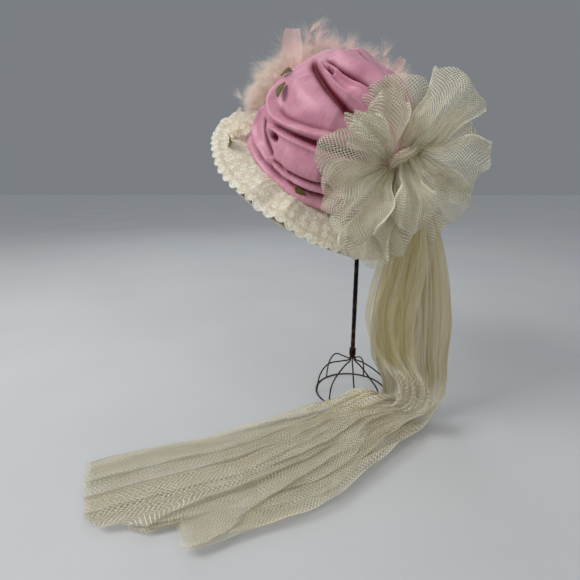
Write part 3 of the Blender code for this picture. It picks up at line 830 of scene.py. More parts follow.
def dress(
    piece: bpy.types.Object, finish: bpy.types.Material, slot: str, *replaced: str
) -> bpy.types.Object:
    """Give a piece its finish, its place on the body, and the nodes it stands for.

    Args:
        piece: The new piece, already in place.
        finish: Its material.
        slot: A material slot name; not used.
        replaced: CAD nodes it stands for.

    Returns:
        The piece.
    """
    piece.data.materials.append(finish)
    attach(piece, BODY)
    if replaced:
        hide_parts(*replaced)
    LOG.info("%s: %d faces", piece.name, len(piece.data.polygons))
    return piece


# The hat


class Fold(Enum):
    """Kinds of satin fold."""

    ROLL = 1
    VALLEY = 2
    DENT = 3


@dataclass(frozen=True)
class Crease:
    """One fold of the satin: its height and half width in millimetres, and its line as turns and rises."""

    kind: Fold
    height: float
    width: float
    line: tuple[tuple[float, float], ...]


FRONT_CREASES = (
    Crease(Fold.ROLL, 3.6, 17.0, ((-44, 0.49), (-62, 0.47), (-80, 0.47), (-96, 0.48))),
    Crease(Fold.ROLL, 5.2, 4.6, (
        (-30, 0.45), (-38, 0.37), (-43, 0.30), (-49, 0.270), (-57, 0.262), (-66, 0.275), (-76, 0.305),
        (-88, 0.345), (-104, 0.40), (-126, 0.42),
    )),
    Crease(Fold.VALLEY, 3.4, 2.6, (
        (-48, 0.335), (-55, 0.310), (-64, 0.312), (-76, 0.342), (-90, 0.385), (-108, 0.44),
    )),
    Crease(Fold.DENT, 3.4, 11.0, ((-52, 0.36), (-58, 0.345))),
    Crease(Fold.DENT, 8.0, 16.0, ((-28, 0.15), (-20, 0.22), (-13, 0.31))),
    Crease(Fold.DENT, 3.0, 16.0, ((-12, 0.42), (-8, 0.52))),
    Crease(Fold.VALLEY, 8.0, 3.4, (
        (-53, 0.205), (-62, 0.240), (-70, 0.262), (-78, 0.280), (-88, 0.302), (-98, 0.325), (-112, 0.355),
        (-126, 0.39),
    )),
    Crease(Fold.ROLL, 5.2, 2.6, (
        (-53, 0.160), (-60, 0.212), (-68, 0.230), (-76, 0.246), (-84, 0.263), (-92, 0.280), (-104, 0.298),
        (-120, 0.33),
    )),
    Crease(Fold.DENT, 9.0, 2.7, ((-62, 0.186), (-65, 0.190))),
    Crease(Fold.ROLL, 3.2, 12.0, ((-76, 0.13), (-88, 0.165), (-102, 0.20))),
    Crease(Fold.ROLL, 5.0, 2.8, (
        (-40, 0.27), (-39, 0.19), (-40, 0.125), (-46, 0.090), (-56, 0.086), (-65, 0.080), (-72, 0.068),
    )),
    Crease(Fold.VALLEY, 6.0, 2.2, ((-45, 0.215), (-50, 0.175), (-57, 0.145), (-64, 0.120), (-70, 0.10))),
    Crease(Fold.VALLEY, 5.0, 1.8, ((-28, 0.13), (-31, 0.075), (-42, 0.058), (-54, 0.058), (-64, 0.060))),
    Crease(Fold.ROLL, 4.6, 4.0, (
        (-20, 0.03), (-36, 0.020), (-54, 0.020), (-70, 0.020), (-84, 0.024), (-98, 0.030), (-112, 0.045),
        (-130, 0.07),
    )),
    Crease(Fold.VALLEY, 7.5, 2.0, (
        (-34, 0.085), (-44, 0.062), (-56, 0.054), (-68, 0.050), (-80, 0.050), (-92, 0.060), (-104, 0.077),
        (-120, 0.11),
    )),
    Crease(Fold.ROLL, 3.0, 1.8, ((-68, 0.068), (-82, 0.072), (-94, 0.085), (-108, 0.11), (-122, 0.14))),
    Crease(Fold.VALLEY, 5.0, 1.6, ((-66, 0.088), (-76, 0.090), (-88, 0.104), (-100, 0.13), (-116, 0.17))),
    Crease(Fold.VALLEY, 8.0, 2.8, (
        (-26, 0.63), (-38, 0.612), (-54, 0.600), (-68, 0.582), (-80, 0.565), (-92, 0.545), (-104, 0.53),
        (-118, 0.50), (-130, 0.46),
    )),
    Crease(Fold.ROLL, 4.2, 2.6, (
        (-36, 0.650), (-50, 0.640), (-64, 0.630), (-78, 0.620), (-90, 0.612), (-102, 0.600), (-116, 0.56),
    )),
    Crease(Fold.DENT, 4.0, 7.0, ((-74, 0.665), (-84, 0.672))),
    Crease(Fold.DENT, 7.5, 2.4, ((-58, 0.660), (-62, 0.664))),
    Crease(Fold.ROLL, 3.6, 1.7, (
        (-46, 0.668), (-60, 0.688), (-74, 0.704), (-88, 0.711), (-102, 0.700), (-118, 0.64),
    )),
    Crease(Fold.VALLEY, 6.5, 2.0, (
        (-38, 0.70), (-56, 0.716), (-74, 0.733), (-90, 0.742), (-106, 0.730), (-122, 0.66),
    )),
    Crease(Fold.ROLL, 5.0, 7.0, ((-26, 0.77), (-50, 0.80), (-74, 0.83), (-98, 0.835), (-120, 0.79))),
    Crease(Fold.VALLEY, 6.0, 2.0, ((-6, 0.84), (-30, 0.92), (-90, 0.93), (-120, 0.88), (-134, 0.79))),
    Crease(Fold.ROLL, 4.0, 8.0, ((24, 0.84), (60, 0.93), (150, 0.94), (-160, 0.86))),
)


@dataclass
class Crown:
    """The puffed oval crown: draped satin outside, plain lining inside."""

    pose: HatPose
    half_width: float = 0.085
    half_length: float = 0.093
    height: float = 0.120
    puff: float = 0.050
    wall: float = 0.0024
    heart: tuple[float, float, float] = (0.0, 0.0, 0.034)
    knot: tuple[float, float, float] = (-0.052, -0.066, 0.072)
    sides: int = 384
    rows: int = 170
    side_round: float = 0.72
    top_round: float = 0.95
    swell_rise: float = 1.7
    lining_sides: int = 96
    lining_rows: int = 40
    # Cloth coordinates for each turn and for the whole rise, in metres
    girth: float = 0.09
    climb: float = 0.16
    # Where the charted folds are, and how they pass into the plain fan of rolls
    seen_turn: float = -78.0
    seen_rise: float = 0.36
    seen_edge: float = 0.02
    seen_blend: float = 0.45
    # Relief in metres: the ground that folds start from, its limit, and how deep a valley goes before its
    # painted shade is full
    depth: float = 1.4
    ground: float = 0.0080
    limit: float = 0.0100
    lift: float = 0.0086
    dark: float = 0.0048
    proud: float = 0.0012
    hem: float = 0.022
    # Half width in millimetres under which a fold marks a valley with painted shade
    narrow: float = 6.0
    # Gathers round the knot, and how far from it, in degrees, the rolls rise and die out
    gathers: int = 26
    gather_height: float = 0.0011
    gather_fade: float = 34.0
    fan_rise: tuple[float, float] = (8.0, 30.0)
    fan_end: tuple[float, float] = (176.0, 30.0)
    fan_round: float = 0.7
    # Where each roll of the fan starts, in degrees, and its height in millimetres
    fan: tuple[tuple[float, float], ...] = (
        (-165, 7.5), (-132, 8.0), (-98, 7.5), (-66, 8.5), (-34, 10.0), (-8, 10.5),
        (15, 13.0), (47, 10.5), (70, 9.0), (98, 8.5), (130, 8.0), (162, 7.5),
    )

    def form(self, turn: Array, rise: Array, shrink: float = 0.0) -> Array:
        """Plain crown before its folds, in the hat's frame.

        Args:
            turn: Angle round the crown from its front, in radians.
            rise: From 0 at the base to 1 at the top.
            shrink: How far inside the outer form.

        Returns:
            Points in the hat's own frame.
        """
        lift = rise * pi / 2
        swell = 1 + self.puff * np.sin(np.minimum(1.0, rise * self.swell_rise) * pi)
        radius = np.clip(np.cos(lift), 0, 1) ** self.side_round * swell
        return np.stack(
            [
                (self.half_width - shrink) * radius * np.sin(turn),
                (self.half_length - shrink) * radius * np.cos(turn),
                (self.height - shrink) * np.sin(lift) ** self.top_round * np.ones_like(turn),
            ],
            axis=-1,
        )

    def fan_relief(self, points: Array) -> Array:
        """Height of the rolls that fan out of the knot, at points of the hat's own frame."""
        heart = np.array(self.heart)
        away = unit(points - heart)
        pole = unit(np.array(self.knot) - heart)
        level = unit(np.cross(pole, -self.pose.axes[:, 1]))
        over = np.cross(level, pole)
        turn = np.degrees(np.arctan2(away @ level, -(away @ over)))
        spread = np.degrees(np.arccos(np.clip(away @ pole, -1, 1)))
        starts = np.array([row[0] for row in self.fan], float)
        swells = np.array([row[1] for row in self.fan]) / 1000
        index = (np.searchsorted(starts, turn, side="right") - 1) % len(starts)
        width = (starts[(index + 1) % len(starts)] - starts[index]) % 360
        share = ((turn - starts[index]) % 360) / width
        fade = smooth((spread - self.fan_rise[0]) / self.fan_rise[1])
        fade = fade * smooth((self.fan_end[0] - spread) / self.fan_end[1])
        phase = np.radians(turn) * self.gathers + 2 * np.sin(np.radians(turn) * 3)
        gathers = self.gather_height * np.sin(phase) * np.exp(-spread / self.gather_fade)
        return fade * swells[index] * np.sin(pi * share) ** self.fan_round + gathers

    def crease_relief(self, points: Array, crease: Crease) -> Array:
        """Height that one fold adds at each point."""
        turns, rises = curve_through(crease.line, 8 * len(crease.line)).T
        line = self.form(np.radians(turns), rises)
        start, step = line[:-1], np.diff(line, axis=0)
        run = np.concatenate([[0], np.cumsum(np.linalg.norm(step, axis=1))])
        best = np.full(points.shape[0], np.inf)
        where = np.zeros(points.shape[0])
        for index in range(len(step)):
            size = float(step[index] @ step[index])
            share = np.clip((points - start[index]) @ step[index] / max(size, 1e-12), 0, 1)
            away = np.linalg.norm(points - start[index] - share[:, None] * step[index], axis=1)
            closer = away < best
            best = np.where(closer, away, best)
            where = np.where(closer, run[index] + share * (run[index + 1] - run[index]), where)
        near = best / (crease.width / 1000)
        if crease.kind is Fold.DENT:
            return -crease.height / 1000 * np.exp(-(near**2))
        ends = smooth(where / (0.16 * run[-1])) * smooth((run[-1] - where) / (0.10 * run[-1]))
        if crease.kind is Fold.ROLL:
            return crease.height / 1000 * np.exp(-(near**1.5)) * ends
        return -crease.height / 1000 * np.exp(-near) * ends

    def satin(self) -> Cloth:
        """The draped outside."""
        turns, rises = round_grid(self.sides, np.linspace(0, 1, self.rows) ** 0.9)
        plain = self.form(turns, rises)
        flat = plain.reshape(-1, 3)
        heart = np.array(self.heart)
        seen = unit(self.form(np.radians([self.seen_turn]), np.array([self.seen_rise]))[0] - heart)
        facing = smooth((unit(flat - heart) @ seen - self.seen_edge) / self.seen_blend)
        relief = (1 - facing) * self.fan_relief(flat)
        detail = np.full(len(flat), self.ground)
        marks = np.full(len(flat), self.ground)
        for crease in FRONT_CREASES:
            height = self.depth * self.crease_relief(flat, crease)
            detail += height
            marks += height if crease.width < self.narrow else 0.0
        soft = 0.0006 * np.sin(flat[:, 0] * 210 + 3) * np.sin(flat[:, 1] * 170)
        soft = soft + 0.0004 * np.sin(flat[:, 2] * 260)
        capped = self.limit * np.tanh((detail - self.ground) / self.limit)
        relief = relief + facing * (capped + self.lift) + soft
        relief = relief.reshape(turns.shape) * smooth(rises / self.hem) + self.proud
        # Painted shade in the narrow valleys, on the side with the charted folds
        valley_shade = (facing * smooth((self.ground - marks) / self.dark)).reshape(turns.shape)
        outward = unit(plain - heart)
        points = self.pose.place(plain + outward * relief[..., None])
        return Cloth(points, self.weave(turns, rises), wrap=True, hollow=valley_shade)

    def weave(self, turns: Array, rises: Array) -> Array:
        """Cloth coordinates of the crown, in metres."""
        return np.stack([turns * self.girth, rises * self.climb], axis=-1)

    def build(self, finishes: Finishes) -> list[bpy.types.Object]:
        """Make the satin and the lining under it."""
        draped = self.satin()
        satin = dress(cloth_piece("crown_satin", draped), finishes.satin, "pink_satin", "crown")
        turns, rises = round_grid(self.lining_sides, np.linspace(0, 1, self.lining_rows))
        inside = self.pose.place(self.form(turns, rises, self.wall))
        lining = cloth_piece("crown_lining", Cloth(inside, self.weave(turns, rises), wrap=True))
        dress(lining, finishes.lining, "pink_satin")
        draped.cut()
        return [satin, lining]


@dataclass
class Brim:
    """Drooping net brim, its piping, and the gathered lace on it."""

    crown: Crown
    width: float = 0.046
    droop: float = 0.017
    wall: float = 0.0016
    wave: float = 0.0025
    piping: float = 0.0013
    ruffle_start: float = 0.0030
    ruffle_reach: float = 0.0490
    flutes: int = 14
    flute_height: float = 0.0078
    scallops: int = 33
    scallop: float = 0.0022
    edging: float = 0.0008
    hang: float = 0.0045
    sides: int = 640
    rows: int = 27
    board_sides: int = 240
    board_rows: int = 14
    rim_sides: int = 300
    # How far over the brim the net and the lace lie, and how much shorter and flatter the net is
    net_lift: float = 0.0010
    net_short: float = 0.004
    net_flat: float = 0.85
    lace_lift: float = 0.0028
    gathering: int = 3

    def level(self, turn: Array, out: Array) -> Array:
        """Height of the brim's upper face in the hat's frame."""
        out = np.maximum(out, 0)
        return -0.0004 - self.droop * out**1.35 + self.wave * out**2 * np.sin(3 * turn + 0.6)

    def point(self, turn: Array, reach: Array, up: Array) -> Array:
        """Points beyond the crown's oval edge, in the row frame."""
        local = np.stack(
            [
                (self.crown.half_width + reach) * np.sin(turn),
                (self.crown.half_length + reach) * np.cos(turn),
                up * np.ones_like(turn),
            ],
            axis=-1,
        )
        return self.crown.pose.place(local)

    def board(self) -> tuple[Cloth, Cloth]:
        """Upper and lower faces of the stiff brim."""
        turns, outs = round_grid(
            self.board_sides, np.linspace(-self.crown.wall / self.width, 1, self.board_rows)
        )
        weave = np.stack([turns * 0.12, outs * self.width], axis=-1)
        top = self.point(turns, outs * self.width, self.level(turns, outs))
        under = self.point(turns, outs * self.width, self.level(turns, outs) - self.wall)
        return Cloth(top, weave, wrap=True), Cloth(under, weave, wrap=True)

    def ruffle(self, lift: float, reach_more: float, height: float, seed: int) -> Cloth:
        """One gathered layer on the brim.

        Args:
            lift: How far it lies above the brim.
            reach_more: How far beyond the lace's own edge it reaches.
            height: Height of its flutes.
            seed: Which uneven gathering.

        Returns:
            The layer, from its gathered edge to its free edge.
        """
        turns, outs = round_grid(self.sides, np.linspace(0, 1, self.rows))
        phase = self.flutes * turns + 1.3 * np.sin(3 * turns)
        phase = phase + wander(turns / (2 * pi), seed, ((5, 1.0), (9, 0.5)))
        flute = 0.5 + 0.5 * np.sin(phase)
        fine = wander(turns / (2 * pi), seed + 9, ((61, 0.06), (97, 0.03)))
        open_up = smooth(outs * 1.6) * (0.75 + 0.25 * np.sin(5 * turns + seed))
        open_up = open_up * (1 - 0.35 * smooth(outs * 2.2 - 1.2))
        pinch = smooth(1 - outs * 2.2) * 0.0010 * np.sin(phase * 5)
        scallop = self.scallop * np.abs(np.sin(self.scallops * turns + seed)) * smooth(outs * 3 - 2)
        reach = self.ruffle_start + (self.ruffle_reach + reach_more - self.ruffle_start) * outs + scallop
        past = smooth((reach - self.width + 0.006) / 0.006) * 1.6 * self.piping
        past = past - self.hang * smooth((reach - self.width - self.piping) / 0.005)
        up = self.level(turns, reach / self.width) + lift + past + height * (flute + fine) * open_up + pinch
        lean = 0.25 * height * np.cos(phase) * open_up / (self.crown.half_width + reach)
        points = self.point(turns + lean, reach, up)
        weave = np.stack([turns * 0.16 + flute * 0.002, reach], axis=-1)
        return Cloth(points, weave, wrap=True)

    def build(self, finishes: Finishes) -> list[bpy.types.Object]:
        """Make the brim board, its piping, the peach net and the lace with its white edge."""
        top, under = self.board()
        pieces = [dress(cloth_piece("brim_net", top, under), finishes.gold_net, "brim_net", "brim")]
        turns = np.linspace(0, 2 * pi, self.rim_sides, endpoint=False)
        whole = np.ones_like(turns)
        reach = (self.width + self.piping + TOUCH) * whole
        rim = self.point(turns, reach, self.level(turns, whole) - self.wall / 2)
        cord = cloth_piece("rim_cord", tube_cloth(rim, self.piping, 10, closed=True))
        pieces.append(dress(cord, finishes.cord, "piping", "rim_piping"))
        flutes = self.flute_height * self.net_flat
        peach = self.ruffle(self.net_lift, -self.net_short, flutes, self.gathering)
        lace = self.ruffle(self.lace_lift, 0.0, self.flute_height, self.gathering)
        pieces.append(dress(cloth_piece("peach_ruffle", peach), finishes.peach_net, "lace"))
        pieces.append(dress(cloth_piece("lace_frill", lace), finishes.lace, "lace", "lace_ruffle"))
        for piece, cloth in zip(pieces[-2:], (peach, lace)):
            cloth.cut()
        edge = cloth_piece("lace_edge", tube_cloth(lace.points[-1], self.edging, 6, closed=True))
        pieces.append(dress(edge, finishes.edging, "lace"))
        return pieces


@dataclass(frozen=True)
class Loop:
    """One loop of the bow, in millimetres.

    The tip and the root are given from the knot as right, near and up. roll turns the band about its own
    length, in degrees. arch rounds the tip's corners, folds is the height of the soft folds at the tip, and
    belly pushes the middle of the loop towards the viewer.
    """

    tip: tuple[float, float, float]
    width: float
    gape: float
    roll: float = 0.0
    root: tuple[float, float, float] = (0.0, 0.0, 0.0)
    root_width: float = 9.0
    arch: float = 0.25
    folds: float = 4.0
    belly: float = 4.0
    node: str = ""


# From the knot to the second gather, in millimetres: right, near and up
SECOND_GATHER = (24.0, 4.0, 17.0)

# Tip, width, gape, roll, root, root_width, arch, folds, belly and node
BOW_LOOPS = (
    Loop((0, 0, 86), 82, 12, 4, (0, -4, 4), 12, 0.50, 2.5, 2, "bow_loop_01"),
    Loop((68, 2, 80), 60, 22, -6, (16, 4, 12), 26, 0.10, 3.5, 8, "bow_loop_02"),
    Loop((84, -16, 48), 44, 20, 20, (26, -6, 18), 12, 0.20, 3.0, 0, "bow_loop_03"),
    Loop((94, 6, -11), 66, 36, 24, (22, 4, 16), 14, 0.16, 4.0, 4, "bow_loop_04"),
    Loop((80, -6, -52), 54, 18, 10, (18, -4, 8), 12, 0.22, 4.0, 2, "bow_loop_05"),
    Loop((50, -2, -84), 44, 16, 0, (14, -4, 4), 12, 0.20, 3.5, 0, "bow_loop_06"),
    Loop((19, 34, -68), 42, 26, -6, (12, 6, 4), 12, 0.35, 5.0, 10, "bow_loop_07"),
    Loop((-50, 42, -66), 52, 20, 18, (-2, 6, -2), 12, 0.20, 4.5, 6, "bow_loop_08"),
    Loop((-78, 42, 6), 74, 14, -4, (-4, 2, 0), 12, 0.38, 3.5, 3, "bow_loop_09"),
    Loop((-48, 44, 42), 44, 18, -14, (-4, 4, 4), 10, 0.25, 4.5, 5, "bow_loop_10"),
    Loop((48, 18, -40), 40, 22, -20, (20, 6, 10), 12, 0.30, 4.0, 4, "bow_loop_11"),
    Loop((-22, 32, 66), 44, 18, 10, (-4, 6, 4), 10, 0.30, 4.5, 6),
    Loop((8, 26, -86), 52, 14, 8, (2, 2, -2), 12, 0.30, 5.0, 2),
    Loop((-32, 24, -98), 52, 12, 6, (-2, 0, -4), 12, 0.12, 4.0, 0),
    Loop((-74, 34, -34), 50, 12, 0, (-4, 0, -2), 12, 0.30, 4.0, 2),
)


@dataclass
class Bow:
    """The tulle bow: loops gathered in a wrapped knot."""

    pose: HatPose
    knot: tuple[float, float, float] = (0.0156, -0.0872, 0.3097)
    knot_radius: float = 0.0064
    knot_sides: int = 72
    knot_rows: int = 44
    knot_end: float = 0.02
    knot_cloth: float = 0.009
    first_seed: int = 20
    # How much of a loop's run is hidden in the knot, and how soon the loop spreads from it
    hidden: float = 0.012
    spread: float = 1.12
    spread_round: float = 0.75
    hem_share: float = 0.945
    # Crumples: their height in metres, then each one's direction and waves
    crumple: float = 0.0032
    crumples: tuple[tuple[tuple[float, float, float], float], ...] = (
        ((0.2, 0.6, 0.8), 118.0), ((0.7, 0.2, -0.7), 96.0), ((0.8, -0.5, 0.3), 135.0),
    )
    steps: int = 96
    across: int = 58

    def centre(self) -> Array:
        """Middle of the knot in the row frame."""
        return self.pose.stand(self.knot)

    def away(self, reach: tuple[float, float, float]) -> Array:
        """Step from the knot, in metres, from millimetres to the right, nearer and up."""
        return np.array(reach) * np.array([1, -1, 1]) / 1000

    def profile(self, gape: float, length: float) -> tuple[Array, Array, Array]:
        """Side view of a loop: how far out, how far apart its layers, and which layer, at even steps."""
        place = np.linspace(0, 1, 400)
        out = 0.5 * (1 - np.cos(2 * pi * place))
        apart = gape / 2 * np.sin(2 * pi * place) * (0.15 + 0.85 * out**0.7)
        run = np.concatenate([[0], np.cumsum(np.hypot(np.diff(out * length), np.diff(apart)))])
        even = np.interp(np.linspace(self.hidden, 1 - self.hidden, self.steps) * run[-1], run, place)
        return np.interp(even, place, out), np.interp(even, place, apart), even

    def loop(self, loop: Loop, seed: int) -> Cloth:
        """Sheet of one loop: out from the knot, over at the tip and back.

        Args:
            loop: The loop's table row.
            seed: Which uneven folding.

        Returns:
            The cloth, whose rows follow the band.
        """
        root = self.centre() + self.away(loop.root)
        tip = self.centre() + self.away(loop.tip)
        forward = unit(tip - root)
        length = float(np.linalg.norm(tip - root))
        side = unit(np.cross(forward, NEAR))
        turn = radians(loop.roll)
        side = side * cos(turn) + np.cross(forward, side) * sin(turn)
        gape_way = np.cross(forward, side)
        gape_way = gape_way * (1 if gape_way[1] < 0 else -1)
        out, apart, place = (row[:, None] for row in self.profile(loop.gape / 1000, length))
        share = np.linspace(-1, 1, self.across)[None, :]
        spread = smooth(out * self.spread) ** self.spread_round
        half = (loop.root_width / 2 + (loop.width - loop.root_width) / 2 * spread) / 1000
        layer = smooth((place - 0.5) * 5 + 0.5)
        across = share * 0.5
        wide = wander(across + 0.10 * out + 0.35 * layer, seed, ((1.0, 0.60), (1.7, 0.45), (2.9, 0.22)))
        fine = wander(across + 0.04 * out, seed + 11, ((4.3, 0.6), (6.7, 0.4), (9.1, 0.3)))
        fold = 1.5 * loop.folds / 1000 * wide * smooth(out * 1.6)
        gather = 0.0016 * fine * np.exp(-out * 3.2) * loop.root_width / 10 + 0.0006 * fine * out
        rounding = 1 - loop.arch * np.abs(share) ** 2.4 * smooth(out * 1.2)
        ragged = 1 + 0.020 * wander(across, seed + 3, ((1.3, 1.0), (3.1, 0.6))) * out
        ripple = 0.0008 * wander(share * 1.3 + out * 1.9, seed + 5, ((1.0, 1.0), (2.7, 0.6)))
        ripple = ripple * smooth(out * 2)
        curl = 0.0035 * np.abs(share) ** 6 * out * np.sin(share * 2 + seed)
        points = lay_out(
            root,
            (forward, length * out * rounding * ragged),
            (side, half * (share + 0.06 * wide * out)),
            (gape_way, apart * (1 - 0.35 * share**2) + fold + gather + ripple + curl),
            (NEAR, loop.belly / 1000 * np.sin(pi * np.clip(out, 0, 1))),
        )
        waves = [
            np.sin(points @ way * size + seed * turn) for turn, (way, size) in enumerate(self.crumples, 1)
        ]
        points = points + self.crumple * smooth(out * 1.8)[..., None] * np.stack(waves, axis=-1)
        weave = arc_weave(points)
        hem = smooth((np.abs(share) - self.hem_share) / 0.03) * np.ones_like(out)
        dense = np.maximum(crowding(points, weave) ** 1.6 * 0.75, hem * 0.85)
        # Painted shade: darker near the knot, in the troughs of the folds and on the far layer of the loop
        sunk = smooth(0.45 - 0.6 * wide) * (1 - hem)
        hollow = np.clip(0.95 * np.exp(-out * 3.4) + 0.60 * sunk * np.sqrt(out) + 0.10 * layer, 0, 1)
        return Cloth(points, weave, dense=dense, hollow=hollow)

    def wrap(self) -> Cloth:
        """Tulle wound round the two gathers."""
        turns, rises = round_grid(
            self.knot_sides, np.linspace(self.knot_end, pi - self.knot_end, self.knot_rows)
        )
        ridge = 1 + 0.10 * np.sin(turns * 6 + 2 * np.cos(rises * 3)) + 0.05 * np.sin(turns * 11 + rises * 5)
        radius = self.knot_radius * ridge * np.sin(rises) ** 0.8
        reach = self.away(SECOND_GATHER)
        forward, middle = unit(reach), self.centre() + reach * 0.46
        across = unit(np.cross(forward, NEAR))
        over = np.cross(forward, across)
        half = 0.5 * float(np.linalg.norm(reach)) + 0.003
        points = lay_out(
            middle,
            (forward, half * np.cos(rises)),
            (across, radius * np.cos(turns)),
            (over, radius * np.sin(turns)),
        )
        weave = np.stack([turns * self.knot_cloth, rises * half], axis=-1)
        dense = np.full(turns.shape, 0.55)
        # Painted shade over the whole knot, deeper in the grooves between its ridges
        return Cloth(points, weave, wrap=True, dense=dense, hollow=0.6 - 2.5 * (ridge - 1))

    def build(self, finishes: Finishes) -> list[bpy.types.Object]:
        """Make the knot and every loop."""
        pieces = [dress(cloth_piece("bow_wrap", self.wrap()), finishes.tulle, "tulle", "bow_knot")]
        for number, loop in enumerate(BOW_LOOPS, 1):
            cloth = self.loop(loop, self.first_seed + number)
            piece = cloth_piece(f"tulle_loop_{number:02d}", cloth)
            nodes = (loop.node,) if loop.node else ()
            pieces.append(dress(piece, finishes.tulle, "tulle", *nodes))
            cloth.cut()
        return pieces


@dataclass(frozen=True)
class TrainLayer:
    """One layer of the train.

    lift is its stand-off in metres. start and end are where it lies across, from -1 to 1. folds is how many
    pleats it has, overlap how far they lie over each other, and short how much sooner it ends, in metres.
    """

    name: str
    lift: float
    start: float
    end: float
    folds: float
    overlap: float
    seed: int
    short: float = 0.0
    swag: bool = False


